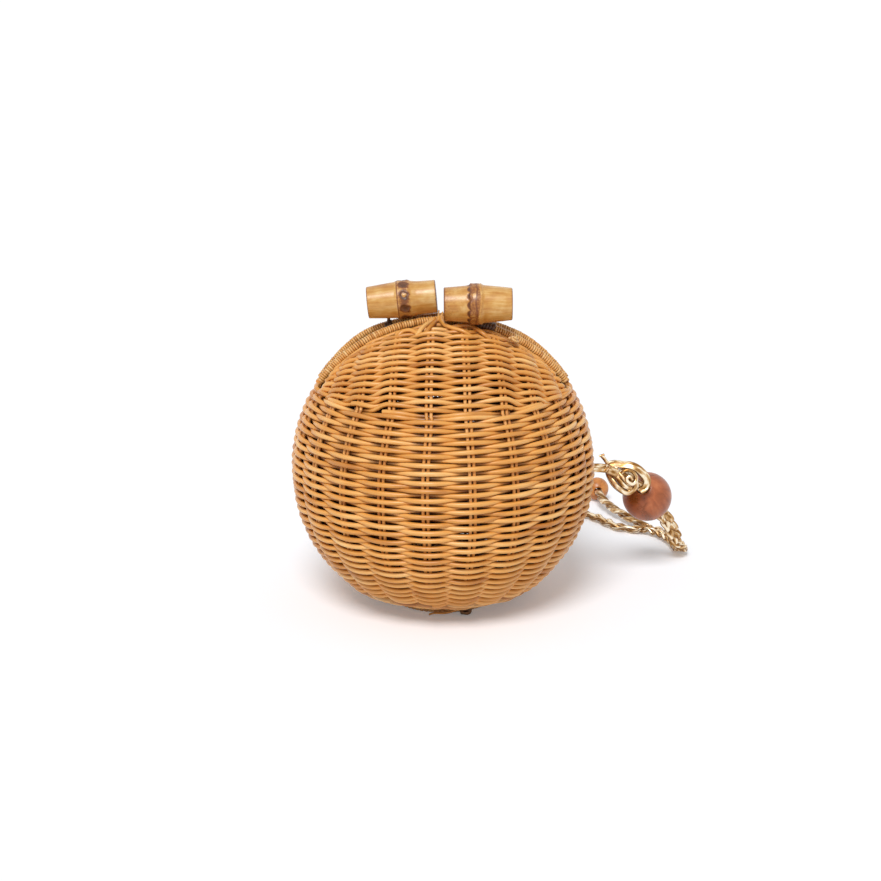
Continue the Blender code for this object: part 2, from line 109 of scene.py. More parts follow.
def smooth_step(value):
    """Eases from 0 to 1."""
    value = np.clip(value, 0, 1)
    return value * value * (3 - 2 * value)


def bump(offset, width):
    """A smooth rise to 1 where offset is 0."""
    return np.exp(-((offset / width) ** 2))


def wobble(along, reach, waves=4, lowest=0.15, highest=0.9):
    """A slow, seeded unevenness along a strand."""
    total = np.zeros_like(along, dtype=float)
    for _ in range(waves):
        total += np.sin(along * rng.uniform(lowest, highest) * math.tau + rng.uniform(0, math.tau))
    return total * reach / math.sqrt(waves)


class Bundle:
    """The strands of one piece, gathered into one mesh, with painted shade kept at their points.
    Those of the ball's wall are marked light on the outside and dark deep inside, where shade
    falls; the others are marked dark along their edges, where shade falls between neighbours."""

    def __init__(self, in_wall=False):
        self.points, self.faces, self.grain, self.tint, self.shade = [], [], [], [], []
        self.count = 0
        self.in_wall = in_wall

    def add(self, path, outward, width, height=None, sides=8, tint=None, square=0.0):
        """Sweeps a rounded section along a path; outward says which way its flat side faces."""
        path = np.asarray(path, float)
        height = width if height is None else height
        width = np.broadcast_to(width, len(path))[:, None]
        height = np.broadcast_to(height, len(path))[:, None]
        outward = np.broadcast_to(np.asarray(outward, float), path.shape)
        forward = unit(np.gradient(path, axis=0))
        across = unit(np.cross(forward, outward))
        up = np.cross(across, forward)
        turns = np.arange(sides) / sides * math.tau
        cos, sin = np.cos(turns), np.sin(turns)
        if square:
            cos = np.sign(cos) * np.abs(cos) ** (1 - square)
            sin = np.sign(sin) * np.abs(sin) ** (1 - square)
        rings = (
            path[:, None]
            + across[:, None] * (width * cos / 2)[:, :, None]
            + up[:, None] * (height * sin / 2)[:, :, None]
        )
        along = reach_along(path)
        start = rng.uniform(0, 3)
        grain = np.stack(
            [
                np.broadcast_to(along[:, None] + start, (len(path), sides)),
                width * cos / 2 + start,
                height * sin / 2 + 0 * along[:, None],
            ],
            axis=2,
        )
        # Painted shade: strands are marked darker along their edges; in the ball's wall they are
        # marked darker the deeper they lie instead
        edge_shade = 1 - edge_darkening * np.abs(np.cos(turns)) ** 4
        shade = np.broadcast_to(edge_shade, (len(path), sides))
        if self.in_wall:
            depth = np.linalg.norm(rings - ball_centre, axis=2) - wall_middle
            shade = smooth_step((depth - shade_start) / shade_depth)
        tint = rng.uniform(0.25, 0.75) if tint is None else tint
        tint = np.broadcast_to(np.asarray(tint, float).reshape(-1, 1), (len(path), sides))
        first = self.count
        index = first + np.arange(len(path) * sides).reshape(len(path), sides)
        quads = np.stack(
            [index[:-1], np.roll(index[:-1], -1, 1), np.roll(index[1:], -1, 1), index[1:]], axis=2
        ).reshape(-1, 4)
        self.faces += quads.tolist()
        centre_start = first + len(path) * sides
        centre_end = centre_start + 1
        for side in range(sides):
            following = (side + 1) % sides
            self.faces.append([centre_start, int(index[0, following]), int(index[0, side])])
            self.faces.append([centre_end, int(index[-1, side]), int(index[-1, following])])
        self.points += [rings.reshape(-1, 3), path[:1], path[-1:]]
        self.grain += [grain.reshape(-1, 3), grain[:1, 0], grain[-1:, 0]]
        self.tint += [tint.reshape(-1), tint[0, :1], tint[-1, :1]]
        self.shade += [shade.reshape(-1), shade[0, :1], shade[-1, :1]]
        self.count += len(path) * sides + 2

    def piece(self, name, material):
        marks = {"grain": self.grain, "tint": self.tint, "shade": self.shade}
        marks = {mark: np.concatenate(values) for mark, values in marks.items()}
        return solid(name, np.concatenate(self.points), self.faces, material, strand_fold, marks)


def middle_of(node):
    """The middle of a CAD node at rest."""
    low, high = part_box(node)
    return (np.array(low) + np.array(high)) / 2


def show(name, mesh, material):
    """Puts a mesh into the scene with its one material."""
    piece = bpy.data.objects.new(name, mesh)
    bpy.context.scene.collection.objects.link(piece)
    mesh.materials.clear()
    mesh.materials.append(material)
    return piece


def solid(name, points, faces, material, fold, marks=None):
    """A smoothly shaded piece; marks are values kept at its points for its material."""
    mesh = bpy.data.meshes.new(name)
    mesh.from_pydata(np.reshape(points, (-1, 3)).tolist(), [], faces)
    for mark, values in (marks or {}).items():
        kind, field = ("FLOAT_VECTOR", "vector") if mark == "grain" else ("FLOAT", "value")
        attribute = mesh.attributes.new(mark, kind, "POINT")
        attribute.data.foreach_set(field, values.astype(np.float32).ravel())
    mesh.shade_smooth()
    mesh.set_sharp_from_angle(angle=fold)
    return show(name, mesh, material)


def faces_between(rings, following):
    """Faces that join rings of point numbers to the rings that follow them."""
    corners = [rings, following, np.roll(following, -1, 1), np.roll(rings, -1, 1)]
    return np.stack(corners, axis=2).reshape(-1, 4).tolist()


def line_length(line):
    return float(np.linalg.norm(np.diff(line, axis=0), axis=1).sum())


def reach_along(line):
    """How far along a line each of its points lies."""
    return np.concatenate([[0], np.cumsum(np.linalg.norm(np.diff(line, axis=0), axis=1))])


def rounded_route(points, spacing):
    """Evenly spaced points on a smooth curve through a route's own points."""
    fine_steps = 24
    points = np.asarray(points, float)
    ends = np.vstack([2 * points[0] - points[1], points, 2 * points[-1] - points[-2]])
    t = np.linspace(0, 1, fine_steps, endpoint=False)[:, None]
    fine = []
    for before, start, end, after in zip(ends, ends[1:], ends[2:], ends[3:]):
        fine.append(
            (
                2 * start
                + (end - before) * t
                + (2 * before - 5 * start + 4 * end - after) * t**2
                + (3 * start - 3 * end + after - before) * t**3
            )
            / 2
        )
    fine = np.vstack([*fine, points[-1:]])
    reach = reach_along(fine)
    steps = np.linspace(0, reach[-1], max(2, round(reach[-1] / spacing)) + 1)
    return np.stack([np.interp(steps, reach, fine[:, axis]) for axis in range(3)], axis=1)


# Materials
def colour(code):
    """An sRGB hex value as linear red, green, blue and alpha."""
    parts = [int(code[start : start + 2], 16) / 255 for start in (1, 3, 5)]
    linear = [
        part / 12.92 if part <= 0.04045 else ((part + 0.055) / 1.055) ** 2.4 for part in parts
    ]
    return (*linear, 1.0)


def add_node(tree, kind, settings=None, values=None, links=None):
    """Adds a node, sets its properties and sockets, and joins its inputs."""
    node = tree.nodes.new(kind)
    for name, value in (settings or {}).items():
        setattr(node, name, value)
    for socket, value in (values or {}).items():
        node.inputs[socket].default_value = value
    for socket, source in (links or {}).items():
        tree.links.new(source, node.inputs[socket])
    return node


def new_material(name):
    """A material, its node tree and its surface shader."""
    material = bpy.data.materials.new(name)
    material.use_nodes = True
    tree = material.node_tree
    return material, tree, tree.nodes["Principled BSDF"]


def set_ramp(node, stops):
    """Gives a colour ramp its stops, each a place and a colour."""
    ramp = node.color_ramp
    while len(ramp.elements) < len(stops):
        ramp.elements.new(1)
    for element, (place, code) in zip(ramp.elements, stops):
        element.position = place
        element.color = colour(code)


def long_streaks(tree, place, length, width, detail, roughness):
    """Noise drawn out along a strand, by the grain kept at its points."""
    stretch = add_node(
        tree, "ShaderNodeMapping", values={"Scale": (1 / length, 1 / width, 1 / width)},
        links={"Vector": place.outputs["Vector"]},
    )
    noise = add_node(
        tree, "ShaderNodeTexNoise",
        values={"Scale": 1.0, "Detail": detail, "Roughness": roughness},
        links={"Vector": stretch.outputs[0]},
    )
    return noise.outputs["Fac"]


def finish_surface(tree, shader, shine, roughness, relief, strength, height):
    """One pattern varies the shine between two roughnesses, and one gives the relief."""
    gloss = add_node(
        tree, "ShaderNodeMapRange", values={3: roughness[0], 4: roughness[1]}, links={0: shine}
    )
    raised = add_node(
        tree, "ShaderNodeBump", values={"Strength": strength, "Distance": height},
        links={"Height": relief},
    )
    tree.links.new(gloss.outputs[0], shader.inputs["Roughness"])
    tree.links.new(raised.outputs[0], shader.inputs["Normal"])


def cane_material(name, pale, middle, deep, roughness, coat=0.0):
    """Rattan core or peel, drawn through a die and varnished: fine streaks run along it,
    its shade drifts from strand to strand, and it has a low satin shine. Its fibres are
    about 0.1 mm wide, and drawn coarser so that they show."""
    fibre_width = 0.45 * mm
    fibre_length = 7.5 * mm
    patch_size = 28 * mm
    patch_share = 0.55
    streak_share = 0.5
    fibre_height = 0.12 * mm
    # Dark brown of the painted shade, deep in the wall and along the edges of strands
    painted_shade_colour = colour("#561A00")
    material, tree, shader = new_material(name)
    place = add_node(tree, "ShaderNodeAttribute", {"attribute_name": "grain"})
    tint = add_node(tree, "ShaderNodeAttribute", {"attribute_name": "tint"})
    fibres = long_streaks(tree, place, fibre_length, fibre_width, detail=3.0, roughness=0.6)
    patches = add_node(
        tree, "ShaderNodeTexNoise", values={"Scale": 1 / patch_size, "Detail": 2.0},
        links={"Vector": place.outputs["Vector"]},
    )
    drift = add_node(
        tree, "ShaderNodeMath", {"operation": "MULTIPLY_ADD"}, {1: patch_share},
        {0: patches.outputs["Fac"], 2: tint.outputs["Fac"]},
    )
    blend = add_node(
        tree, "ShaderNodeMath", {"operation": "MULTIPLY_ADD"}, {1: streak_share},
        {0: fibres, 2: drift.outputs[0]},
    )
    level = add_node(
        tree, "ShaderNodeMapRange", values={1: 0.6, 2: 1.5}, links={0: blend.outputs[0]}
    )
    ramp = add_node(tree, "ShaderNodeValToRGB", links={"Fac": level.outputs[0]})
    set_ramp(ramp, [(0.0, deep), (0.45, middle), (1.0, pale)])
    shade = add_node(tree, "ShaderNodeAttribute", {"attribute_name": "shade"})
    # Mixes the painted shade kept at the points into the cane's colour
    with_painted_shade = add_node(
        tree, "ShaderNodeMix", {"data_type": "RGBA"}, {6: painted_shade_colour},
        {0: shade.outputs["Fac"], 7: ramp.outputs[0]},
    )
    tree.links.new(with_painted_shade.outputs[2], shader.inputs["Base Color"])
    shine = (roughness - 0.07, roughness + 0.1)
    finish_surface(tree, shader, fibres, shine, fibres, 0.35, fibre_height)
    shader.inputs["IOR"].default_value = 1.5
    shader.inputs["Coat Weight"].default_value = coat
    shader.inputs["Coat Roughness"].default_value = 0.25
    return material


def leather_material(name):
    """Lambskin laminated with gold foil and cut into laces: a bright metal skin softly creased
    along the lace, with painted highlights and painted shade in streaks along it, and painted
    brown shade along its cut edges."""
    crease_length = 6 * mm
    crease_width = 2 * mm
    crease_depth = 0.2 * mm
    # Brown of the painted shade along the laces' cut edges
    edge_shade_colour = colour("#6E4722")
    material, tree, shader = new_material(name)
    place = add_node(tree, "ShaderNodeAttribute", {"attribute_name": "grain"})
    creases_and_painted_sheen = long_streaks(tree, place, crease_length, crease_width, detail=2.0, roughness=0.45)
    # The crease pattern also paints the foil's colour, from dark brown painted shade to cream
    # painted highlights, in streaks along the lace
    ramp = add_node(tree, "ShaderNodeValToRGB", links={"Fac": creases_and_painted_sheen})
    set_ramp(ramp, [(0.36, "#94652F"), (0.5, "#CFA56F"), (0.62, "#FFF0D2")])
    # Painted shade: a lace's edges go brown, while its middle stays foil
    edge = add_node(tree, "ShaderNodeAttribute", {"attribute_name": "shade"})
    unshaded_share = add_node(
        tree, "ShaderNodeMapRange", {"interpolation_type": "SMOOTHSTEP"}, {1: 0.45, 2: 0.9},
        {0: edge.outputs["Fac"]},
    )
    with_edge_shade = add_node(
        tree, "ShaderNodeMix", {"data_type": "RGBA"}, {6: edge_shade_colour},
        {0: unshaded_share.outputs[0], 7: ramp.outputs[0]},
    )
    tree.links.new(with_edge_shade.outputs[2], shader.inputs["Base Color"])
    finish_surface(tree, shader, creases_and_painted_sheen, (0.2, 0.4), creases_and_painted_sheen, 0.3, crease_depth)
    shader.inputs["Metallic"].default_value = 0.9
    return material


def wood_material(name, pale, middle, deep, grain_width, roughness):
    """A beech bead, turned, stained and waxed: soft streaks of grain run along its bore
    under a broad, dull shine."""
    grain_length = 4 * grain_width
    grain_height = 0.1 * mm
    material, tree, shader = new_material(name)
    place = add_node(tree, "ShaderNodeTexCoord")
    stretch = add_node(
        tree, "ShaderNodeMapping",
        values={"Scale": (1 / grain_width, 1 / grain_width, 1 / grain_length)},
        links={"Vector": place.outputs["Object"]},
    )
    grain = add_node(
        tree, "ShaderNodeTexNoise",
        values={"Scale": 1.0, "Detail": 5.0, "Roughness": 0.55, "Distortion": 0.4},
        links={"Vector": stretch.outputs[0]},
    )
    pattern = grain.outputs["Fac"]
    ramp = add_node(tree, "ShaderNodeValToRGB", links={"Fac": pattern})
    set_ramp(ramp, [(0.3, deep), (0.5, middle), (0.72, pale)])
    tree.links.new(ramp.outputs[0], shader.inputs["Base Color"])
    shine = (roughness - 0.06, roughness + 0.08)
    finish_surface(tree, shader, pattern, shine, pattern, 0.15, grain_height)
    shader.inputs["IOR"].default_value = 1.5
    return material


def bamboo_material(name):
    """Bamboo root, scraped, heat-bent and varnished: pale straw with long warm streaks, scorched
    brown at the rings and root scars, painted shade in a ring's grooves, under a glossy varnish."""
    streak_length = 14 * mm
    streak_width = 1.3 * mm
    cloud_size = 9 * mm
    speck_size = 1.1 * mm
    streak_height = 0.1 * mm
    material, tree, shader = new_material(name)
    place = add_node(tree, "ShaderNodeAttribute", {"attribute_name": "grain"})
    burn = add_node(tree, "ShaderNodeAttribute", {"attribute_name": "tint"})
    streaks = long_streaks(tree, place, streak_length, streak_width, detail=4.0, roughness=0.6)
    clouds = add_node(
        tree, "ShaderNodeTexNoise", values={"Scale": 1 / cloud_size, "Detail": 3.0},
        links={"Vector": place.outputs["Vector"]},
    )
    mixed = add_node(
        tree, "ShaderNodeMix", {"data_type": "FLOAT"}, {0: 0.55},
        {2: streaks, 3: clouds.outputs["Fac"]},
    )
    skin = add_node(tree, "ShaderNodeValToRGB", links={"Fac": mixed.outputs[0]})
    set_ramp(skin, [(0.32, "#B57329"), (0.5, "#D09A4D"), (0.68, "#E9C482")])
    speck = add_node(
        tree, "ShaderNodeTexNoise", values={"Scale": 1 / speck_size, "Detail": 2.0},
        links={"Vector": place.outputs["Vector"]},
    )
    scorch = add_node(
        tree, "ShaderNodeMath", {"operation": "MULTIPLY_ADD"}, {1: 0.5, 2: -0.25},
        {0: speck.outputs["Fac"]},
    )
    level = add_node(
        tree, "ShaderNodeMath", {"operation": "ADD", "use_clamp": True},
        links={0: burn.outputs["Fac"], 1: scorch.outputs[0]},
    )
    brown = add_node(tree, "ShaderNodeValToRGB", links={"Fac": level.outputs[0]})
    set_ramp(brown, [(0.0, "#CC8A3E"), (0.5, "#8A4E1A"), (1.0, "#2E1402")])
    amount = add_node(
        tree, "ShaderNodeMapRange", {"interpolation_type": "SMOOTHSTEP"}, {1: 0.12, 2: 0.5},
        {0: level.outputs[0]},
    )
    whole = add_node(
        tree, "ShaderNodeMix", {"data_type": "RGBA"},
        links={0: amount.outputs[0], 6: skin.outputs[0], 7: brown.outputs[0]},
    )
    tree.links.new(whole.outputs[2], shader.inputs["Base Color"])
    finish_surface(tree, shader, level.outputs[0], (0.32, 0.55), streaks, 0.2, streak_height)
    shader.inputs["IOR"].default_value = 1.5
    shader.inputs["Coat Weight"].default_value = 0.2
    shader.inputs["Coat Roughness"].default_value = 0.24
    return material


# Basket
def azimuth_of(stake):
    """Angle round the bag of a stake, or of a place between stakes."""
    return stake_phase + math.tau * stake / stake_pairs


def swing(phase):
    """How far in or out a weaver lies: a cosine that lingers on the stakes."""
    linger = 0.28
    wave = np.cos(math.pi * phase)
    return (1 - linger) * wave + linger * np.sin(math.pi / 2 * wave)


bowl_bottom = -math.asin(wall_drop / ball_radius) + 0.5 * bowl_pitch / ball_radius
bowl_top = math.asin(bowl_edge / ball_radius) - 0.35 * bowl_pitch / ball_radius
last_row = int((bowl_top - bowl_bottom) * ball_radius / bowl_pitch)


def bowl_direction(stake, lift):
    """Direction from the ball's centre at a stake and an angle above level."""
    azimuth = azimuth_of(stake)
    level = np.cos(lift)
    rise = np.sin(lift) + 0 * azimuth
    return np.stack([level * np.sin(azimuth), -level * np.cos(azimuth), rise], axis=-1)


def thinned(phase):
    """Weavers press each other thinner where they cross, midway between the stakes."""
    pressed = 0.16
    return 1 - pressed + pressed * np.abs(phase) ** 0.7


def build_bowl(material):
    """One long weaver spirals from the base to the foot of the shoulders. It is packed
    tighter behind, so that no daylight shows through both walls."""
    ends_at = 5.6
    uneven_rise = 0.22 * mm
    uneven_swing = 0.12 * mm
    flatter_behind = 0.3
    wider_behind = 0.22
    last_stake = stake_pairs * last_row + ends_at
    stake = np.arange(0, last_stake * samples_per_stake + 1) / samples_per_stake
    lift = bowl_top + (stake / stake_pairs - last_row) * bowl_pitch / ball_radius
    lift = lift + wobble(stake, uneven_rise / ball_radius, 6, 0.05, 0.6)
    direction = bowl_direction(stake, lift)
    phase = swing(stake)
    behind = smooth_step(0.6 - 1.6 * np.cos(azimuth_of(stake)))
    reach = weaver_swing * (1 - flatter_behind * behind) + wobble(stake, uneven_swing, 4, 0.1, 0.5)
    path = ball_centre + direction * (wall_middle + phase * reach)[:, None]
    size = weaver_width * (1 + wider_behind * behind + wobble(stake, 0.04, 5, 0.02, 0.3))
    bundle = Bundle(in_wall=True)
    tint = 0.5 + wobble(stake, 0.12, 9, 0.004, 0.3)
    bundle.add(path, direction, size * thinned(phase), size * weaver_height_share, tint=tint)
    return bundle.piece("bowl_weavers", material)


def rods(bundle, directions, side_step, width):
    """A pair of stakes, side by side along a line up the wall, a little nearer to its
    outside."""
    outward_shift = 0.3 * mm
    reach = wall_middle + outward_shift
    sideways = unit(np.cross(np.gradient(directions, axis=0), directions))
    for offset in (-stake_spacing / 2, stake_spacing / 2):
        path = ball_centre + directions * reach + sideways * (offset * side_step)
        bundle.add(path, directions, width)


def build_bowl_stakes(material):
    """Stake pairs from just under the base to the bowl's edge, drawn together low down."""
    levels = 40
    crowded_above = math.radians(55)
    below_base = 0.02
    bundle = Bundle(in_wall=True)
    bottom = -math.asin(wall_drop / ball_radius) - below_base
    lifts = np.linspace(bottom, math.asin(bowl_edge / ball_radius), levels)
    for stake in range(stake_pairs):
        along = stake + wobble(np.linspace(0, 3, levels), 0.012, 3, 0.3, 0.8)
        crowd = np.clip(np.cos(lifts) / math.cos(crowded_above), 0, 1)[:, None]
        rods(bundle, bowl_direction(along, lifts), crowd, stake_width)
    return bundle.piece("bowl_stake_pairs", material)


# The woven cap on each side of the mouth
edge_reach = math.sqrt(ball_radius**2 - bowl_edge**2)
stake_gather = 0.13
cap_top = 0.985
past_stake = 0.2


def cap_place(stake, share, side):
    """Direction from the ball's centre of a point of the cap: share 0 lies on the bowl's
    edge and 1 beside the rim. side is -1 in front and 1 at the back."""
    across = edge_reach * np.sin(azimuth_of(stake)) * (1 - stake_gather * share)
    limit = math.sqrt(ball_radius**2 - bowl_edge**2 - mouth_edge**2)
    across = np.clip(across, -limit, limit)
    ring = np.sqrt(ball_radius**2 - across**2)
    low = np.arccos(np.minimum(1, bowl_edge / ring))
    high = np.arcsin(mouth_edge / ring)
    lean = low + (high - low) * share
    place = np.stack([across, side * ring * np.sin(lean), ring * np.cos(lean)], axis=-1)
    return place / ball_radius


def cap_length(stake, side):
    """Length of the cap up the wall at a stake."""
    levels = 24
    shares = np.linspace(0, 1, levels)
    return line_length(cap_place(np.full(levels, float(stake)), shares, side) * ball_radius)


row_sizes = np.where(np.arange(cap_rows) < close_rows, close_pitch, loose_pitch)

# Pairs of rows, in the order in which they stop on the way out to the corners
pair_order = [13, 0, 12, 11, 1, 10, 2, 9, 3, 8, 4, 7, 5, 6]


def cap_wall(share, phase, side):
    """The wall of the cap thins and sinks towards the rim, which stands proud of it, more
    so in front."""
    thins_from = 0.62
    thinned_by = 1.15 * mm
    sinks_by = 1.7 * mm if side < 0 else 0.5 * mm
    near_rim = smooth_step((share - thins_from) / (1 - thins_from))
    reach = weaver_swing - thinned_by * near_rim
    return ball_radius - sinks_by * near_rim - weaver_width / 2 - reach + phase * reach


def row_ends(centre, corners, side):
    """For each pair of rows, how far left and right of the centre stake it goes. It ends
    just past the nearest stake, and never past the corner of the mouth."""
    fine_steps = 200
    ends = {}
    for way in (-1, 1):
        limit = centre - corners[0] if way < 0 else corners[1] - centre
        fine = np.linspace(0, limit, fine_steps)
        lengths = np.array([cap_length(centre + way * reach, side) for reach in fine])
        left_over = row_sizes.sum()
        for pair in pair_order:
            left_over -= row_sizes[2 * pair] + row_sizes[2 * pair + 1]
            below = np.nonzero(lengths < left_over + row_sizes[2 * pair])[0]
            reach = fine[below[0]] if len(below) else limit
            nearest = round(centre + way * reach) - centre
            ends[pair, way] = min(limit, abs(nearest) + past_stake + rng.uniform(-0.05, 0.06))
    return ends


def row_presence(stake, centre, ends, pair):
    """How much of its room a pair of rows takes up at a stake: all of it up to near its
    end, and none beyond it, where the other rows close in."""
    closes_before = 0.18
    closes_over = 0.55
    beyond = np.where(
        stake >= centre,
        (stake - centre) - ends[pair, 1],
        (centre - stake) - ends[pair, -1],
    )
    return 1 - smooth_step((beyond + closes_before) / closes_over)


def row_share(stake, centre, ends, row):
    """Where the middle of a row lies, from 0 on the bowl's edge to 1 beside the rim."""
    tiny = 1e-6
    total = np.zeros_like(stake, dtype=float)
    below = np.zeros_like(stake, dtype=float)
    for other in range(cap_rows):
        size = row_sizes[other] * row_presence(stake, centre, ends, other // 2)
        total += size
        if other < row:
            below += size
        elif other == row:
            below += size / 2
    return below / np.maximum(total, tiny)


def front_place(across, below, raised):
    """A point on the front cap: across the bag, so far below the mouth's edge, and raised
    from the middle of the outermost strands."""
    strand_depth = 1.5 * mm
    ring = math.sqrt(ball_radius**2 - across**2)
    lean = math.asin(mouth_edge / ring) + below / ring
    outward = np.array((across, -ring * math.sin(lean), ring * math.cos(lean))) / ball_radius
    return ball_centre + outward * (ball_radius - strand_depth + raised)


# Loose strands near the rim's peak: width, then stops across, below the rim and raised, in mm
peak_strands = (
    (3.0, ((-16.0, 16.0, -1.6), (-13.0, 11.0, 0.2), (-10.0, 5.5, 0.5), (-7.6, 0.5, 0.3),
           (-6.6, -2.6, 1.0))),
    (2.7, ((-11.5, 16.5, -1.6), (-8.5, 11.5, 0.2), (-6.0, 6.0, 0.6), (-4.6, 1.0, 0.5),
           (-4.0, -3.2, 1.4))),
    (2.8, ((-1.6, -3.6, 1.8), (-0.8, 1.2, 0.8), (1.2, 7.5, 0.5), (5.5, 11.5, 0.4),
           (12.0, 14.5, 0.3), (17.0, 15.5, -1.8))),
    (2.9, ((2.0, 9.0, -1.0), (8.0, 8.5, 0.3), (14.5, 5.5, 0.7), (19.0, 7.5, 0.5),
           (24.0, 12.0, 0.2), (28.5, 13.0, -1.8))),
    (2.8, ((-28.0, 11.0, -1.4), (-24.0, 9.0, 0.2), (-19.0, 10.5, 0.4), (-14.0, 15.5, -1.6))),
    (1.0, ((-3.2, 0.5, 0.4), (-2.8, -3.6, 2.6), (-2.3, -5.2, 5.6))),
    (0.9, ((-0.8, 0.5, 0.4), (-0.9, -3.4, 2.4), (-0.1, -4.6, 4.8))),
)


def add_peak_strands(bundle):
    """The loose strands of the front cap that run up to the rim's peak."""
    spacing = 0.8 * mm
    height_share = 0.9
    for width, route in peak_strands:
        stops = [front_place(*(value * mm for value in stop)) for stop in route]
        line = rounded_route(stops, spacing)
        bundle.add(line, unit(line - ball_centre), width * mm, width * height_share * mm)


def cap_row(row, left, right, centre, ends, parity):
    """Stakes, shares and swing of one row of a cap; rows beside the rim are looser."""
    stake = np.arange(round(left * samples_per_stake), round(right * samples_per_stake) + 1)
    stake = stake / samples_per_stake
    below_rim = cap_rows - row
    loose = 0.16 + 0.5 * smooth_step((7 - below_rim) / 5)
    uneven = 0.011 * loose
    share = row_share(stake, centre, ends, row)
    share = share + wobble(stake, uneven, 5, 0.12, 0.5)
    return stake, share, swing(stake + parity + row)


def turned_back(lower, upper, left):
    """One strand from two rows: it turns round the leftmost stake and comes back."""
    turn_reach = 0.1
    stake_a, share_a, phase_a = lower
    stake_b, share_b, phase_b = upper
    turn = round(left + past_stake)
    keep = stake_a >= turn
    angle = np.linspace(0, math.pi, 9)[1:-1]
    sign = np.sign(phase_a[keep][0])
    around_stake = turn - turn_reach * np.sin(angle)
    step_up = share_b[keep][0] - share_a[keep][0]
    rise = share_a[keep][0] + step_up * (1 - np.cos(angle)) / 2
    return (
        np.concatenate([stake_a[keep][::-1], around_stake, stake_b[keep]]),
        np.concatenate([share_a[keep][::-1], rise, share_b[keep]]),
        np.concatenate([phase_a[keep][::-1], sign * np.cos(angle), phase_b[keep]]),
    )


def add_cap_rows(bundle, side, centre, corners, parity):
    """The level rows of a cap; every third pair is one strand that turns back."""
    wider_behind = 0.16 * (side > 0)
    ends = row_ends(centre, corners, side)
    for pair in range(cap_rows // 2):
        left = centre - ends[pair, -1]
        right = centre + ends[pair, 1]
        rows = (2 * pair, 2 * pair + 1)
        strands = [cap_row(row, left, right, centre, ends, parity) for row in rows]
        if pair % 3 == 1 and pair > 1:
            strands = [turned_back(*strands, left)]
        for stake, share, phase in strands:
            share = np.clip(share, 0.004, cap_top)
            direction = cap_place(stake, share, side)
            path = ball_centre + direction * cap_wall(share, phase, side)[:, None]
            size = weaver_width * (rng.uniform(0.92, 1.07) + wider_behind)
            tint = rng.uniform(0.38, 0.64) + wobble(stake, 0.07, 4, 0.05, 0.4)
            height = size * weaver_height_share
            bundle.add(path, direction, size * thinned(phase), height, tint=tint)


def add_cap_edges(bundle, side, centre, corners):
    """Two strands down each flank beside the rim, which cover the ends of the rows."""
    second_share = 0.93
    lie = 0.35
    edge_width = weaver_width * 0.95
    for share, begin, stop in (
        (cap_top, corners[0], centre - 1.3), (cap_top, centre + 1.6, corners[1]),
        (second_share, corners[0] + 0.1, centre - 2.3),
        (second_share, centre + 2.5, corners[1] - 0.1),
    ):
        stake = np.arange(begin, stop, 0.08)
        shares = share + wobble(stake, 0.006, 3, 0.1, 0.4)
        direction = cap_place(stake, shares, side)
        path = ball_centre + direction * cap_wall(shares, lie, side)[:, None]
        bundle.add(path, direction, edge_width)


def build_cap(name, side, first, last, corners, parity, material, stake_material):
    """Rows that stay level while the rim falls away to the corners of the mouth, over the
    stake pairs from first to last."""
    levels = 30
    centre = (first + last) / 2
    bundle = Bundle(in_wall=True)
    add_cap_rows(bundle, side, centre, corners, parity)
    add_cap_edges(bundle, side, centre, corners)
    if side < 0:
        add_peak_strands(bundle)
    cap = bundle.piece(f"{name}_cap_weavers", material)
    bundle = Bundle(in_wall=True)
    shares = np.linspace(-0.01, cap_top, levels)
    for stake in range(first, last + 1):
        along = stake + wobble(np.linspace(0, 2, levels), 0.012, 3, 0.3, 0.8)
        rods(bundle, cap_place(along, shares, side), np.ones((levels, 1)), stake_width)
    stakes = bundle.piece(f"{name}_cap_stake_pairs", stake_material)
    return cap, stakes


# Rims
def rim_arc(side, count):
    """Middle line of a rim and its outward directions. It stops short of the bowl, to stay
    clear of it when the lip opens, and the back rim bulges a little on both flanks."""
    clear_of_bowl = 4.5 * mm
    start = math.asin(bowl_edge / ball_radius) + clear_of_bowl / rim_path_radius
    lift = np.linspace(start, math.pi - start, count)
    outward = np.stack([-np.cos(lift), 0 * lift, np.sin(lift)], axis=1)
    path = ball_centre + outward * rim_path_radius + np.array((0, side * rim_offset, 0))
    if side > 0:
        left = bump(path[:, 0] + 46 * mm, 17 * mm)
        right = bump(path[:, 0] - 50 * mm, 14 * mm)
        path = path + outward * (2.2 * left + 1.0 * right)[:, None] * mm
    return path, outward


def build_rim(name, side, core_material, peel_material):
    """A thick core wound all along with cane, each turn a round strand beside the last."""
    core_width = 3.2 * mm
    turn_width = 1.42 * mm
    peel = 1.25 * mm
    slant = 0.5 * mm
    steps_per_turn = 14
    path, outward = rim_arc(side, 90)
    core = Bundle()
    core.add(path, outward, core_width, sides=10)
    core_piece = core.piece(f"{name}_rim_rod", core_material)
    turns = int(line_length(path) / turn_width)
    steps = np.arange(turns * steps_per_turn + 1) / steps_per_turn
    lean = wobble(steps, 0.14, 5, 0.01, 0.06)
    spot = np.clip(steps + lean, 0, turns) / turns * (len(path) - 1)
    index = np.arange(len(path))
    base = np.stack([np.interp(spot, index, path[:, k]) for k in range(3)], axis=1)
    out = unit(np.stack([np.interp(spot, index, outward[:, k]) for k in range(3)], axis=1))
    forward = np.cross((0.0, 1.0, 0.0), out)
    angle = steps * math.tau
    reach = (rim_radius - peel / 2) * (1 + wobble(steps, 0.05, 6, 0.02, 0.5))
    lead = slant * np.sin(angle + 0.6)
    radial = out * np.cos(angle)[:, None] + np.cross(forward, out) * np.sin(angle)[:, None]
    winding = base + radial * reach[:, None] + forward * lead[:, None]
    bundle = Bundle()
    tint = 0.5 + wobble(steps, 0.2, 8, 0.01, 0.6)
    width = turn_width * (1.0 + wobble(steps, 0.08, 4, 0.05, 0.6))
    bundle.add(winding, radial, width, peel, tint=tint)
    return core_piece, bundle.piece(f"{name}_rim_wrap", peel_material)


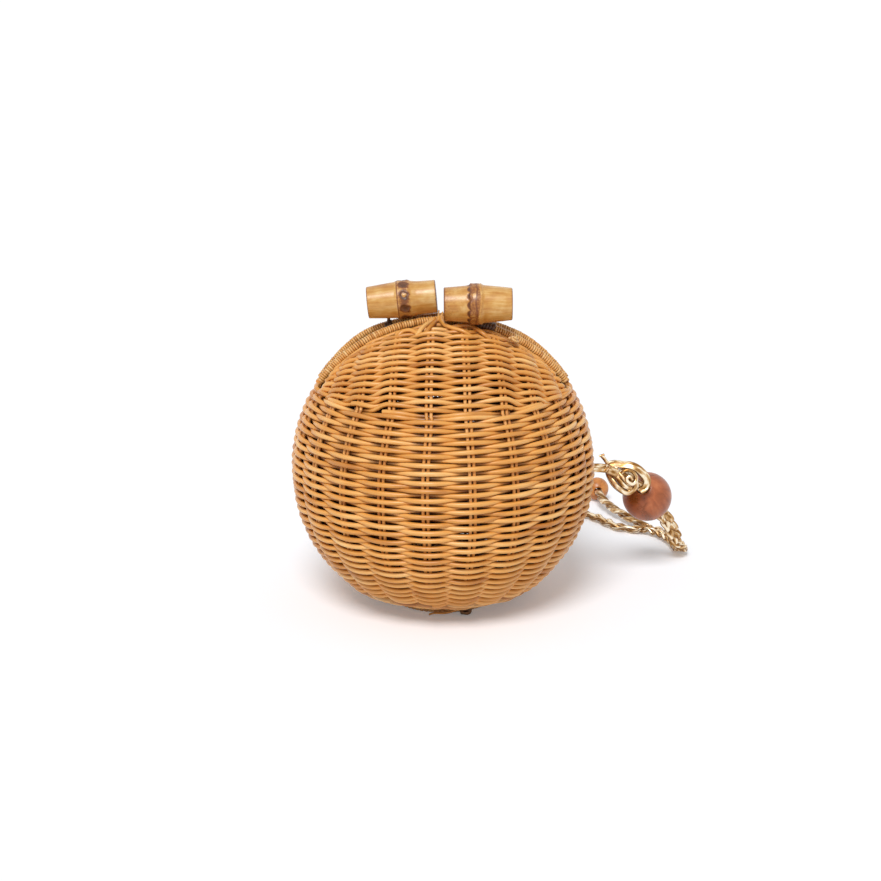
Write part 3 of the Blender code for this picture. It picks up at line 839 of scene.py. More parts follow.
# Clasp
def turned_root(name, profile, centre, tilt_deg, marks, material):
    """A root turned about its length. marks(x, angle) gives what is added to its radius and
    how dark it is marked: scorched, and painted shade in grooves."""
    steps = 108
    xs, radii = profile
    angles = np.arange(steps) / steps * math.tau
    grid_x, grid_a = np.meshgrid(xs, angles, indexing="ij")
    swell, burn = marks(grid_x, grid_a)
    radius = radii[:, None] + swell
    points = np.stack([grid_x, -radius * np.cos(grid_a), radius * np.sin(grid_a)], axis=2)
    grain = points + rng.uniform(0, 1)
    tilt = math.radians(tilt_deg)
    tilted = points.copy()
    tilted[..., 0] = points[..., 0] * math.cos(tilt) - points[..., 2] * math.sin(tilt)
    tilted[..., 2] = points[..., 0] * math.sin(tilt) + points[..., 2] * math.cos(tilt)
    rows = len(xs)
    index = np.arange(rows * steps).reshape(rows, steps)
    sawn_ends = [index[0].tolist(), index[-1][::-1].tolist()]
    faces = faces_between(index[:-1], index[1:]) + sawn_ends
    marks = {"grain": grain, "tint": burn}
    return solid(name, tilted + centre, faces, material, turned_fold, marks)


def bamboo_outline(length, stops):
    """Radius along a root, from stops of place and radius in mm, smoothed, with its sawn
    ends broken by a small round."""
    samples = 150
    smoothing = 5
    round_length = 0.15 * mm
    round_depth = 0.5 * mm
    shoulder_depth = 0.12 * mm
    half = length / 2
    xs = np.linspace(-half, half, samples)
    places, radii = zip(*stops)
    radius = np.interp(xs, np.array(places) * mm, np.array(radii) * mm)
    kernel = np.ones(smoothing) / smoothing
    radius = np.convolve(np.pad(radius, smoothing // 2, mode="edge"), kernel, mode="valid")
    xs[1] = -half + round_length
    xs[-2] = half - round_length
    radius[[0, -1]] -= round_depth
    radius[[1, -2]] -= shoulder_depth
    return xs, radius


def gaps_between(angle, places):
    """Signed angle to the nearest of some places round the root."""
    turn = (angle[..., None] - np.radians(places) + math.pi) % math.tau - math.pi
    nearest = np.abs(turn).argmin(-1)
    return np.take_along_axis(turn, nearest[..., None], -1)[..., 0]


def left_root_marks(x, angle):
    """A tanned band with uneven root scars, one of them with a pale heart."""
    scar_places = [24, -18, 60, 98, 139, 180, -139, -98, -60]
    scar_middle = 1.8 * mm
    scar_width = 3.1 * mm
    scar_height = 2.5 * mm
    root_radius = 11.2 * mm
    band = np.exp(-(((x - 1.3 * mm) / (3.9 * mm)) ** 6))
    turn = gaps_between(angle, scar_places)
    across = (x - scar_middle) / scar_width
    around_root = turn * root_radius / scar_height
    far = np.hypot(across, around_root)
    far = far * (1 + 0.16 * np.sin(3 * np.arctan2(around_root, across) + 9 * angle))
    scar = np.exp(-(far**4))
    ring = bump(far - 0.95, 0.22)
    on_first = np.abs(angle - math.radians(scar_places[0])) < 0.25
    heart = np.exp(-((far / 0.42) ** 4)) * on_first
    bruise = bump(across, 0.8) * bump(angle - 0.05, 0.3)
    swell = (-0.5 * scar + 0.35 * ring + 0.4 * heart) * mm
    edge = 0.5 * bump(x + 2.4 * mm, 0.35 * mm)
    burn = 0.33 * band + 0.5 * scar + 0.3 * bruise + 0.16 * ring - 1.6 * heart + edge
    return swell, burn + end_burn(x)


def right_root_marks(x, angle):
    """A tanned ring whose left edge is a row of scale tips, each with a groove under it that is
    painted dark as shade.
    """
    lobes_round = 13
    heart_place = 35
    heart_radius = 1.0 * mm
    root_radius = 11.8 * mm
    lobe = np.abs(np.cos(lobes_round / 2 * (angle - math.radians(heart_place))))
    left_edge = (-4.4 - 1.3 * lobe**0.7) * mm
    right_edge = 2.0 * mm + 0.5 * mm * np.sin(3 * angle)
    band = smooth_step((x - left_edge) / (0.4 * mm)) * smooth_step((right_edge - x) / (1.6 * mm))
    tips = bump(x - left_edge - 1.1 * mm, 0.9 * mm) * lobe
    groove = bump(x - left_edge + 0.1 * mm, 0.75 * mm) * (0.45 + 0.55 * lobe)
    rim = bump(x - right_edge, 0.4 * mm)
    line = bump(x + 0.9 * mm + 0.4 * mm * np.sin(5 * angle), 0.35 * mm)
    turn = gaps_between(angle, [heart_place])
    far = np.hypot((x + 2.4 * mm) / heart_radius, turn * root_radius / heart_radius)
    heart = np.exp(-(far**4))
    swell = (0.45 * tips - 0.5 * groove + 0.2 * rim) * mm
    warm = 0.18 * smooth_step((-x - 5 * mm) / (5 * mm))
    # The groove's dark brown is painted shade, under the scale tips
    burn = 0.42 * band + 0.85 * groove + 0.25 * rim + 0.25 * line - 0.8 * heart + warm
    return swell, burn + end_burn(x)


def end_burn(x):
    """The sawn ends are scorched along their edges and tanned a little way in."""
    scorched_depth = 0.4 * mm
    tanned_depth = 3.5 * mm
    inside = np.abs(x).max() - np.abs(x)
    return 0.55 * np.exp(-inside / scorched_depth) + 0.16 * np.exp(-inside / tanned_depth)


def build_bamboo(material):
    """The two roots of the clasp. The left one's inner end lies a little higher."""
    left = turned_root(
        "bamboo_left_root",
        bamboo_outline(
            41.2 * mm,
            [(-20.6, 9.35), (-14, 9.95), (-8.5, 10.45), (-3.6, 10.8), (-2.4, 11.4), (4.4, 11.4),
             (5.4, 10.65), (9, 10.1), (14, 9.85), (20.6, 9.75)],
        ),
        middle_of("bamboo_left") + np.array((0.6, 0, 0)) * mm,
        tilt_deg=5.5, marks=left_root_marks, material=material,
    )
    right = turned_root(
        "bamboo_right_root",
        bamboo_outline(
            40.4 * mm,
            [(-20.2, 9.8), (-13, 10.35), (-7.5, 10.85), (-5.7, 11.2), (-4.6, 12.0), (-1, 12.3),
             (2.0, 12.0), (3.2, 11.2), (8, 10.75), (14, 10.2), (20.2, 9.45)],
        ),
        middle_of("bamboo_right"),
        tilt_deg=0.2, marks=right_root_marks, material=material,
    )
    return left, right


def build_tie(name, across, side, turns, width, bamboo, material):
    """A cane strip wound round the rim, and three strips from it up into the root."""
    wound_radius = 3.2 * mm
    strip_height = 1.0 * mm
    overlap = 1.1
    upper_section = (1.8 * mm, 1.6 * mm)
    upper_shifts = (-1.1 * mm, 0.1 * mm, 1.2 * mm)
    root_depth = 9.6 * mm
    steps_per_turn = 18
    rise = math.sqrt(rim_path_radius**2 - across**2)
    seat = ball_centre + np.array((across, side * rim_offset, rise))
    slope = math.asin(across / rim_path_radius)
    forward = np.array((math.cos(slope), 0, -math.sin(slope)))
    out = np.array((math.sin(slope), 0, math.cos(slope)))
    sideways = np.array((0.0, 1.0, 0.0))
    steps = np.linspace(0, turns, turns * steps_per_turn + 1)
    angle = steps * math.tau
    radial = out * np.cos(angle)[:, None] + sideways * np.sin(angle)[:, None]
    spot = (steps / turns - 0.5) * width
    path = seat + radial * wound_radius + forward * spot[:, None]
    bundle = Bundle()
    bundle.add(path, radial, width / turns * overlap, strip_height, square=0.2)
    root = middle_of(bamboo)
    reach = np.array((0, root[1] - seat[1], root[2] - seat[2]))
    top = seat + reach * (1 - root_depth / np.linalg.norm(reach))
    foot = seat + unit(reach) * 2.0 * mm
    for shift in upper_shifts:
        stops = [foot + forward * shift, (foot + top) / 2, top + forward * shift]
        bundle.add(rounded_route(stops, 0.8 * mm), sideways, *upper_section)
    return bundle.piece(name, material)


def build_curl(material):
    """A strand end coiled into a small knot on the front rim."""
    across = 41.8 * mm
    lean = 0.19
    turns = 1.9
    steps = 70
    strand_width = 2.0 * mm
    lying = np.array((0.3, 1.0, 0.2))
    ring = math.sqrt(ball_radius**2 - across**2)
    out = unit(np.array((across, -ring * math.sin(lean), ring * math.cos(lean))))
    place = ball_centre + out * (ball_radius + 0.6 * mm)
    side = unit(np.cross(out, lying))
    up = np.cross(side, out)
    angle = np.linspace(-0.6, math.tau * turns, steps)
    reach = np.linspace(2.9, 0.4, steps) * mm
    coil = side * (np.cos(angle) * reach)[:, None] + up * (np.sin(angle) * reach)[:, None]
    path = place + coil + out * np.linspace(-1.2, 1.3, steps)[:, None] * mm
    bundle = Bundle()
    bundle.add(path, out, strand_width)
    return bundle.piece("rim_end_loop", material)


# Base and foot
base_height = float(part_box("base_weave")[0].z)
base_reach = math.sqrt(ball_radius**2 - wall_drop**2)
foot_reach = float(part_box("foot_ring")[1].x) - 3 * mm
foot_middle = float(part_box("foot_ring")[1].z) / 2
border_height = float(ball_centre[2]) - wall_drop


def around(azimuth, reach, height):
    """Points round the bag's upright axis; azimuth 0 is the front."""
    height = height + 0 * azimuth
    return np.stack([reach * np.sin(azimuth), -reach * np.cos(azimuth), height], axis=1)


def base_rise(reach):
    """Height of the base weave's middle: flat over the foot, then up to the border."""
    middle = base_height + 2.4 * mm
    border = border_height + 1.6 * mm
    slope = np.clip((reach - foot_reach) / (base_reach - foot_reach), 0, 1)
    return middle + slope * (border - middle)


def add_crossed_sticks(bundle, height):
    """Four pairs of sticks each way, over and under each other in the middle of the base."""
    stick_reach = 34 * mm
    spacing = 7.5 * mm
    twin_shift = 1.8 * mm
    section = (3.3 * mm, 2.4 * mm)
    upward = (0, 0, 1)
    line = np.linspace(-stick_reach, stick_reach, 61)
    for index in range(4):
        offset = (index - 1.5) * spacing + 0 * line
        over = 0.9 * mm * np.cos(line / spacing * math.pi + index * math.pi)
        for twin in (-twin_shift, twin_shift):
            row = offset + twin
            bundle.add(np.stack([line, row, height + over], axis=1), upward, *section)
            bundle.add(np.stack([row, line, height - over], axis=1), upward, *section)


def build_base(material, stick_material):
    """The underside: crossed sticks, a spiral weave out to the wall, and a border whose
    canes pass outside one or two stake pairs each."""
    spiral_turns = 15
    spiral_pitch = 2.5 * mm
    spiral_swing = 1.3 * mm
    spiral_section = (2.9 * mm, 2.3 * mm)
    border_cane = 4.0 * mm
    stakes_from = 18 * mm
    upward = (0, 0, 1)
    bundle = Bundle()
    stake = np.arange(0, stake_pairs * spiral_turns * samples_per_stake) / samples_per_stake
    reach = base_reach - 2 * mm - (stake / stake_pairs) * spiral_pitch
    near = np.clip(reach / base_reach, 0.45, 1)
    height = base_rise(reach) + swing(stake) * spiral_swing * near
    tint = 0.5 + wobble(stake, 0.1, 5, 0.01, 0.1)
    path = around(azimuth_of(stake), reach, height)
    bundle.add(path, (0, 0, -1), *spiral_section, tint=tint)
    for pair in range(stake_pairs):
        for shift in (0, 1):
            step = np.linspace(0, 1, 22)
            azimuth = azimuth_of(pair + 0.5 * shift - 0.75 + step * 1.5)
            bulge = np.sin(step * math.pi) ** 0.7
            reach = base_reach - 2.2 * mm + 2.6 * mm * bulge - 1.2 * mm * shift
            height = border_height + (4.6 - 1.0 * bulge - 1.2 * step - 0.8 * shift) * mm
            path = around(azimuth, reach, height)
            bundle.add(path, upward, border_cane * (0.55 + 0.45 * bulge))
    weave = bundle.piece("base_weavers", material)
    bundle = Bundle()
    add_crossed_sticks(bundle, base_height + 3.2 * mm)
    for stake in range(stake_pairs):
        reach = np.linspace(stakes_from, base_reach - 1 * mm, 8)
        path = around(azimuth_of(stake) + 0 * reach, reach, base_rise(reach))
        bundle.add(path, upward, stake_width)
    return weave, bundle.piece("base_sticks", stick_material)


def build_foot(material):
    """A rope of three canes laid in a ring, which the bag stands on."""
    canes = 3
    cane_width = 3.6 * mm
    lay_radius = 1.4 * mm
    turns_round = 22
    bundle = Bundle()
    steps = np.linspace(0, 1, 480)
    for strand in range(canes):
        lay = steps * math.tau * turns_round + strand * math.tau / canes
        reach = foot_reach + lay_radius * np.cos(lay)
        path = around(steps * math.tau, reach, foot_middle + lay_radius * np.sin(lay))
        bundle.add(path, (0, 0, 1), cane_width)
    return bundle.piece("foot_rope", material)


def build_foot_knot(material, strand_material):
    """The knotted end of the foot's cane, and a thin strand that has come loose."""
    tiny = 1e-6
    loop_turns = ((0.5, 0.0), (1.5, 0.7), (-0.6, 1.9), (1.0, 2.9))
    half_height = 2.0 * mm
    cane_section = (1.9 * mm, 1.3 * mm)
    centre = middle_of("foot_knot")
    bundle = Bundle()
    angle = np.linspace(0, math.tau, 60)
    for tilt, turn in loop_turns:
        ring = np.stack([3.1 * np.cos(angle), 2.2 * np.sin(angle), 0 * angle], axis=1) * mm
        ring = ring @ np.array(Matrix.Rotation(tilt, 3, "X") @ Matrix.Rotation(turn, 3, "Z")).T
        ring[:, 2] = np.clip(ring[:, 2], -half_height, half_height)
        bundle.add(centre + ring, unit(ring + tiny), *cane_section)
    knot = bundle.piece("foot_knot_cane", material)
    bundle = Bundle()
    line = rounded_route(
        centre + np.array(
            [(-22.0, -1.5, -2.2), (-19.0, -2.2, -1.0), (-13.0, -2.6, -0.9), (-8.5, -3.0, 0.2),
             (-6.0, -5.5, 2.6), (-5.0, -8.5, 5.0)]
        ) * mm,
        0.9 * mm,
    )
    bundle.add(line, (0, -1, 0), 1.3 * mm)
    return knot, bundle.piece("foot_loose_strand", strand_material)


# Strap
lace_squareness = 0.35


def turned_bead(name, centre, radius, bore, direction, material):
    """A wooden ball drilled along the strap, with softened edges at the bore."""
    rows, steps = 48, 64
    edge_round = 0.5 * mm
    hole = bore / 2
    lip = hole + 0.3 * edge_round
    start = math.asin((hole + edge_round) / radius)
    angles = np.linspace(start, math.pi - start, rows)
    outline = [(radius * math.sin(a), radius * math.cos(a)) for a in angles]
    top = outline[0][1]
    lip_height = top - 0.24 * edge_round
    outline = [
        (hole, 0.0), (hole, top - edge_round), (lip, lip_height),
        *outline, (lip, -lip_height), (hole, edge_round - top),
    ]
    turns = np.arange(steps) / steps * math.tau
    points = [[(r * math.cos(t), r * math.sin(t), z) for t in turns] for r, z in outline]
    index = np.arange(len(outline) * steps).reshape(len(outline), steps)
    piece = solid(name, points, faces_between(index, np.roll(index, -1, 0)), material, turned_fold)
    axis = unit(np.asarray(direction, float))
    helper = np.array((0.0, 0.0, 1.0)) if abs(axis[2]) < 0.9 else np.array((1.0, 0.0, 0.0))
    first = unit(np.cross(helper, axis))
    second = np.cross(axis, first)
    turned_to = [[first[k], second[k], axis[k], centre[k]] for k in range(3)]
    piece.matrix_world = Matrix([*turned_to, [0, 0, 0, 1]])
    return piece


def route_frame(route, facing):
    """Across and outward directions along a route, from the way its flat side faces."""
    forward = unit(np.gradient(route, axis=0))
    across = unit(np.cross(forward, facing))
    return across, np.cross(across, forward)


def plait(bundle, route, facing, strands, width, height, lace, thickness, repeat):
    """A flat plait of laces that cross over and under one another."""
    lingering = 0.85
    reach = reach_along(route)
    across, out = route_frame(route, facing)
    for strand in range(strands):
        phase = reach / repeat * math.tau + strand * math.tau / strands
        sway = np.sin(phase)
        sway = np.sign(sway) * np.abs(sway) ** lingering
        depth = np.sin((strands - 1) * phase)
        path = (
            route
            + across * (sway * (width - lace) / 2)[:, None]
            + out * (depth * height / 2)[:, None]
        )
        bundle.add(path, out, lace, thickness, square=lace_squareness)


def twist(bundle, route, facing, lace, thickness, reach_out, repeat):
    """Two laces twisted round each other."""
    reach = reach_along(route)
    across, out = route_frame(route, facing)
    for strand in range(2):
        phase = reach / repeat * math.tau + strand * math.pi
        radial = across * np.cos(phase)[:, None] + out * np.sin(phase)[:, None]
        bundle.add(route + radial * reach_out, radial, lace, thickness, square=lace_squareness)


# Points of the strap along its route, in metres
lead_route = np.array(
    [(0.0911, 0.0148, 0.0784), (0.0965, 0.0166, 0.0779), (0.1012, 0.0182, 0.0770)]
)
braid_points = np.array(
    [(0.1326, 0.0531, 0.0440), (0.1348, 0.0572, 0.0393), (0.1416, 0.0598, 0.0345),
     (0.1476, 0.0639, 0.0242), (0.1537, 0.0719, 0.0100), (0.1564, 0.0812, 0.0042),
     (0.1534, 0.1018, 0.0040), (0.1470, 0.1161, 0.0040), (0.1387, 0.1247, 0.0040)]
)
leg_points = np.array(
    [(0.1364, 0.1230, 0.0030), (0.1342, 0.1249, 0.0030), (0.1290, 0.1264, 0.0030),
     (0.1187, 0.1323, 0.0030), (0.1092, 0.1481, 0.0030), (0.1013, 0.1584, 0.0030),
     (0.0875, 0.1633, 0.0032), (0.0728, 0.1540, 0.0050), (0.0640, 0.1348, 0.0114),
     (0.0608, 0.1141, 0.0266), (0.0641, 0.0972, 0.0456), (0.0709, 0.0845, 0.0638),
     (0.0712, 0.0711, 0.0735), (0.0651, 0.0650, 0.0753)]
)
twist_points = np.array(
    [(0.1397, 0.1268, 0.0040), (0.1376, 0.1288, 0.0040), (0.1293, 0.1431, 0.0048),
     (0.1185, 0.1638, 0.0064), (0.1121, 0.1835, 0.0079), (0.1111, 0.1972, 0.0085)]
)
big_bead_centre = middle_of("big_bead")
small_bead_centre = middle_of("small_bead")
knot_start = np.array((0.1015, 0.0183, 0.0770))
knot_end = np.array((0.1261, 0.0353, 0.0594))


def facing_along(route):
    """The plait faces the front where it hangs and lies flat on the table."""
    lying_height = 4 * mm
    turning_height = 14 * mm
    hanging = unit(np.array((0.25, -0.9, 0.35)))
    share = smooth_step((route[:, 2] - lying_height) / turning_height)[:, None]
    return unit(np.array((0, 0, 1.0)) * (1 - share) + hanging * share)


def build_plaited_strap(leather):
    """Four flat laces from the wall into the knot, a gathered core through the knot and
    the big bead, then the five-lace braid and its three-lace leg. Also its middle line."""
    knot_middle = (knot_start + knot_end) / 2
    braid = rounded_route(
        [*lead_route, knot_start, knot_middle, knot_end, big_bead_centre, *braid_points],
        0.8 * mm,
    )
    leg = rounded_route(leg_points, 0.7 * mm)
    knot_in = int(np.argmin(np.linalg.norm(braid - knot_start, axis=1)))
    bead_out = int(np.argmin(np.linalg.norm(braid - braid_points[0], axis=1)))
    lead = braid[: knot_in + 4]
    core = braid[knot_in:bead_out]
    flat = braid[bead_out - 3 :]
    lead_section = (1.5 * mm, 1.6 * mm)
    core_section = (6 * mm, 4 * mm)
    bundle = Bundle()
    across, out = route_frame(lead, np.array((0.1, -0.95, 0.3)))
    for shift in (-2.0, -0.7, 0.7, 2.0):
        bundle.add(lead + across * shift * mm, out, *lead_section, square=0.3)
    bundle.add(core, (0.3, -0.9, 0.3), *core_section, sides=10)
    plait(
        bundle, flat, facing_along(flat), strands=5, width=9.8 * mm, height=2.6 * mm,
        lace=3.7 * mm, thickness=1.9 * mm, repeat=40 * mm,
    )
    plait(
        bundle, leg, facing_along(leg), strands=3, width=7.4 * mm, height=2.4 * mm,
        lace=3.9 * mm, thickness=2.1 * mm, repeat=38 * mm,
    )
    return bundle.piece("strap_plait", leather), np.vstack([braid, leg[4:]])


def build_twisted_leg(leather):
    """The leg that ends in the small bead, and its middle line."""
    line = rounded_route(np.vstack([twist_points, small_bead_centre]), 0.6 * mm)
    bundle = Bundle()
    twist(
        bundle, line, facing_along(line), lace=4.3 * mm, thickness=2.6 * mm,
        reach_out=1.5 * mm, repeat=38 * mm,
    )
    return bundle.piece("strap_twist", leather), line


# The knot's laces: width, then stops to the right, up and forward of its middle, in mm
knot_laces = (
    (5.6, ((-10.9, 7.9, 0.0), (-7.0, 8.9, 0.6), (-2.3, 8.4, 2.2), (2.4, 8.1, 3.2),
           (7.0, 6.3, 3.4), (11.2, 2.7, 2.6), (13.6, -1.5, 1.6), (12.4, -5.6, 0.6),
           (8.9, -8.2, -0.6))),
    (3.3, ((-11.0, 6.2, 1.0), (-10.3, 2.2, 3.4), (-7.5, -3.0, 5.0), (-3.9, -6.6, 5.4),
           (0.3, -9.0, 4.6), (3.9, -7.9, 4.4), (6.2, -5.1, 5.0), (6.0, -2.0, 5.4))),
    (2.9, ((-9.0, 6.8, 2.6), (-7.0, 2.7, 5.0), (-3.9, -1.5, 6.0), (-0.8, -4.8, 6.0),
           (3.4, -6.6, 5.0))),
    (2.2, ((-6.5, 6.8, 4.0), (-4.4, 3.2, 5.8), (-1.3, -0.4, 6.6), (1.3, -3.5, 6.2))),
    (2.2, ((-3.9, 1.7, 5.6), (-2.0, 4.0, 6.4), (1.3, 5.0, 6.6), (4.9, 3.2, 6.0),
           (6.5, -0.4, 5.6), (4.4, -3.5, 6.4), (1.3, -2.5, 7.2), (0.3, -0.2, 7.4),
           (2.4, 1.1, 7.4), (3.9, -0.9, 6.6))),
)


def build_knot(leather):
    """The laces gathered into one large loose knot above the bead: a plain core with the
    laces over it, in front and behind, and a cut end."""
    lace_thickness = 1.7 * mm
    core_size = (11.5 * mm, 9.5 * mm)
    middle = (knot_start + knot_end) / 2
    right = np.array((1.0, 0.0, 0.0))
    forward = np.array((0.0, -math.cos(camera_rise), math.sin(camera_rise)))
    up = np.cross(right, -forward)
    frame_of_knot = np.stack([right, up, forward])
    bundle = Bundle()
    axis = unit(knot_end - knot_start)
    core = middle + axis * np.linspace(-9.5, 11.0, 12)[:, None] * mm
    swell = np.sin(np.linspace(0.35, math.pi - 0.35, 12))
    width, height = (size * swell for size in core_size)
    bundle.add(core, forward, width, height, sides=14, tint=0.0)
    for width, stops in knot_laces:
        for way in (1, -1):
            local = np.array(stops) * mm * (1, 1, way)
            path = middle + rounded_route(local, 0.7 * mm) @ frame_of_knot
            faces = unit(unit(path - middle) * 0.55 + forward * way)
            bundle.add(path, faces, width * mm, lace_thickness, sides=12, square=0.25)
    knot = bundle.piece("strap_knot_laces", leather)
    bundle = Bundle()
    tail = rounded_route(
        [(0.1023, 0.0220, 0.0787), (0.1003, 0.0227, 0.0817), (0.0984, 0.0231, 0.0840)],
        0.5 * mm,
    )
    toward_front = (0, -1, 0.2)
    bundle.add(tail, toward_front, 2.3 * mm, 1.3 * mm, square=0.3)
    nub = tail[-1] + np.array([(-1.6, 0.0, -0.5), (0.0, 0.0, 0.0), (1.8, 0.0, 0.7)]) * mm
    bundle.add(rounded_route(nub, 0.4 * mm), toward_front, 1.4 * mm, 1.2 * mm)
    return knot, bundle.piece("strap_knot_end", leather)


# Table, light and camera
def where_seen(tree):
    """1 for rays that show a surface straight, in a mirror or through glass, else 0."""
    light_path = add_node(tree, "ShaderNodeLightPath")
    seen = light_path.outputs["Is Camera Ray"]
    for way in ("Is Glossy Ray", "Is Transmission Ray"):
        both = {0: seen, 1: light_path.outputs[way]}
        seen = add_node(tree, "ShaderNodeMath", {"operation": "MAXIMUM"}, links=both).outputs[0]
    return seen


def build_table():
    """A white laminate top, pressed matt. Where it is seen it glows a little, so that it
    goes white outside the bag's own shadow."""
    half_size = 30.0
    glow_strength = 0.17
    material, tree, shader = new_material("white_laminate")
    shader.inputs["Base Color"].default_value = colour("#F6F8FD")
    shader.inputs["Roughness"].default_value = 0.7
    shader.inputs["Specular IOR Level"].default_value = 0.0
    glow = add_node(
        tree, "ShaderNodeEmission", values={"Color": colour("#FFFFFF"), "Strength": glow_strength}
    )
    both = add_node(tree, "ShaderNodeAddShader", links={0: shader.outputs[0], 1: glow.outputs[0]})
    mixed = add_node(
        tree, "ShaderNodeMixShader",
        links={0: where_seen(tree), 1: shader.outputs[0], 2: both.outputs[0]},
    )
    output = next(node for node in tree.nodes if node.type == "OUTPUT_MATERIAL")
    tree.links.new(mixed.outputs[0], output.inputs["Surface"])
    corners = [(x * half_size, y * half_size, 0) for x, y in ((-1, -1), (1, -1), (1, 1), (-1, 1))]
    mesh = bpy.data.meshes.new("table")
    mesh.from_pydata(corners, [], [(0, 1, 2, 3)])
    show("table", mesh, material)


def add_sun(name, toward, spread_deg, power):
    """A large soft light far away, so that it falls evenly on the table."""
    data = bpy.data.lights.new(name, "SUN")
    data.angle = math.radians(spread_deg)
    data.energy = power
    lamp = bpy.data.objects.new(name, data)
    bpy.context.scene.collection.objects.link(lamp)
    lamp.rotation_euler = Vector(toward).to_track_quat("-Z", "Y").to_euler()


def build_light():
    """A soft box high in front of the bag, over the camera, and an even white studio all
    round, which shows as white where it is seen."""
    studio_level = 0.4
    world = bpy.data.worlds.new("studio")
    bpy.context.scene.world = world
    world.use_nodes = True
    tree = world.node_tree
    studio = tree.nodes["Background"]
    studio.inputs["Color"].default_value = colour("#FFFFFF")
    studio.inputs["Strength"].default_value = studio_level
    white = add_node(
        tree, "ShaderNodeBackground", values={"Color": colour("#FFFFFF"), "Strength": 1.0}
    )
    mixed = add_node(
        tree, "ShaderNodeMixShader",
        links={0: where_seen(tree), 1: studio.outputs[0], 2: white.outputs[0]},
    )
    tree.links.new(mixed.outputs[0], tree.nodes["World Output"].inputs["Surface"])
    add_sun("overhead_softbox", toward=(0.12, 0.62, -0.77), spread_deg=24, power=2.15)


def build_camera():
    """The photograph's view, 16 degrees down on the ball's middle. The picture is shifted so
    that the ball lies where it lies there."""
    sensor_width = 36
    data = bpy.data.cameras.new("camera")
    data.sensor_width = sensor_width
    data.lens = focal_px * sensor_width / picture_px
    data.shift_x = (picture_px / 2 - ball_px[0]) / picture_px
    data.shift_y = (ball_px[1] - picture_px / 2) / picture_px
    camera = bpy.data.objects.new("camera", data)
    bpy.context.scene.collection.objects.link(camera)
    camera.location = ball_centre + camera_distance * np.array(
        (0, -math.cos(camera_rise), math.sin(camera_rise))
    )
    camera.rotation_euler = (math.pi / 2 - camera_rise, 0, 0)
    bpy.context.scene.camera = camera
    bpy.context.scene.view_settings.view_transform = "Standard"


# The whole clutch
def settle(piece, body, slot, *nodes):
    """Fixes a piece to its body and hides the CAD nodes that it stands for. The slot is not used.
    """
    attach(piece, body)
    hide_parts(*nodes)


build_camera()

varnished_rattan = cane_material(
    "varnished_rattan_core", "#FFD48E", "#E5A04A", "#A2570F", roughness=0.36, coat=0.15
)
stake_rattan = cane_material(
    "rattan_stake_core", "#F4BF7A", "#DD9A4A", "#AA6220", roughness=0.45
)
cane_peel = cane_material(
    "split_cane_peel", "#F7CF8E", "#E6A858", "#B57226", roughness=0.36, coat=0.15
)
brown_cane = cane_material(
    "stained_brown_cane", "#8A6038", "#5E3D22", "#382010", roughness=0.4
)
# A darker, duller copy of the cane: painted shade on the foot knot, which sits in the bag's shadow
knot_cane = cane_material(
    "cane_knot_painted_shade", "#A5814E", "#7C5A31", "#4A331B", roughness=0.5
)
varnished_bamboo = bamboo_material("varnished_bamboo_root")
gold_leather = leather_material("gold_foiled_leather")
brown_wood = wood_material(
    "reddish_brown_beech_bead", "#C8794B", "#A85A30", "#82431A",
    grain_width=7 * mm, roughness=0.28,
)
orange_wood = wood_material(
    "orange_beech_bead", "#DB9450", "#C97F3C", "#A8642B", grain_width=4.5 * mm, roughness=0.32
)

strap, strap_line = build_plaited_strap(gold_leather)
twist_leg, twist_line = build_twisted_leg(gold_leather)
big_bead = turned_bead(
    "big_wood_bead", big_bead_centre, radius=15.6 * mm, bore=8.6 * mm,
    direction=braid_points[0] - knot_end, material=brown_wood,
)
small_bead = turned_bead(
    "small_wood_bead", small_bead_centre, radius=8.2 * mm, bore=5.8 * mm,
    direction=small_bead_centre - twist_points[-1], material=orange_wood,
)
knot, knot_tail = build_knot(gold_leather)
settle(strap, "basket", "gold_leather", "strap_lead", "strap_braid", "strap_braid_leg")
settle(twist_leg, "basket", "gold_leather", "strap_twist_leg")
settle(big_bead, "basket", "brown_bead", "big_bead")
settle(small_bead, "basket", "orange_bead", "small_bead")
settle(knot, "basket", "gold_leather", "strap_knot")
settle(knot_tail, "basket", "gold_leather", "strap_knot_tail")

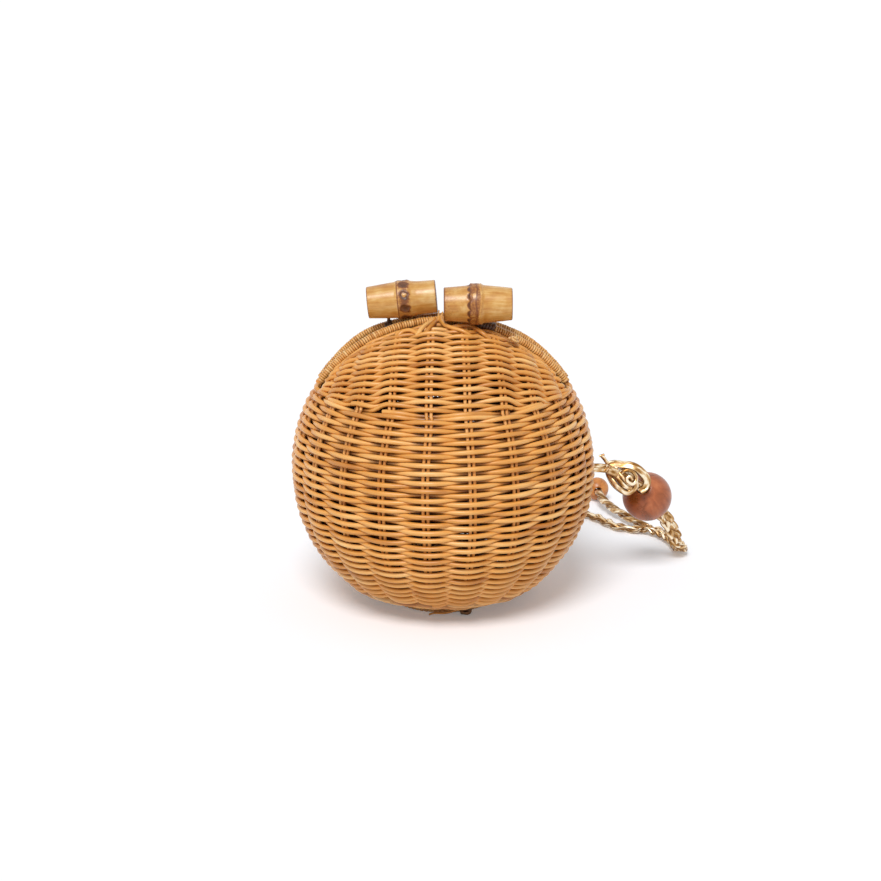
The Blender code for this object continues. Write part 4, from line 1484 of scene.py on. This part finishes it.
bowl = build_bowl(varnished_rattan)
bowl_stakes = build_bowl_stakes(stake_rattan)
base, base_sticks = build_base(varnished_rattan, stake_rattan)
foot = build_foot(varnished_rattan)
foot_knot, loose_strand = build_foot_knot(knot_cane, cane_peel)
settle(bowl, "basket", "rattan_weave", "bowl_weave")
settle(bowl_stakes, "basket", "rattan_stakes", "bowl_stakes")
settle(base, "basket", "rattan_weave", "base_weave")
settle(base_sticks, "basket", "rattan_stakes", "base_cross")
settle(foot, "basket", "rattan_weave", "foot_ring")
settle(foot_knot, "basket", "cane_peel", "foot_knot")
settle(loose_strand, "basket", "cane_peel")

front_parity = stake_pairs * last_row
back_parity = stake_pairs * (last_row - 1)
for word, side, first, last, corners, parity in (
    ("front", -1, -4, 5, (-4.75, 5.48), front_parity),
    ("back", 1, 6, 16, (5.75, 16.0), back_parity),
):
    cap, cap_stakes = build_cap(
        word, side, first, last, corners, parity, varnished_rattan, stake_rattan
    )
    rim_rod, rim_wrap = build_rim(word, side, stake_rattan, cane_peel)
    for piece in (cap, cap_stakes):
        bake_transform(piece)
    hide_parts(f"{word}_shoulder_weave", f"{word}_lip_weave")
    settle(rim_rod, f"{word}_lip", "rattan_stakes", f"{word}_rim_core")
    settle(rim_wrap, f"{word}_lip", "cane_peel", f"{word}_rim_whipping")

left_root, right_root = build_bamboo(varnished_bamboo)
left_cane = build_tie(
    "left_cane_tie", across=-32.5 * mm, side=1, turns=3, width=4.8 * mm,
    bamboo="bamboo_left", material=brown_cane,
)
right_cane = build_tie(
    "right_cane_tie", across=24.6 * mm, side=-1, turns=6, width=11 * mm,
    bamboo="bamboo_right", material=brown_cane,
)
curl = build_curl(cane_peel)
settle(left_root, "back_lip", "bamboo_root", "bamboo_left")
settle(right_root, "front_lip", "bamboo_root", "bamboo_right")
settle(left_cane, "back_lip", "brown_cane", "left_tie")
settle(right_cane, "front_lip", "brown_cane", "right_tie")
settle(curl, "front_lip", "cane_peel", "rim_curl")

build_table()
build_light()
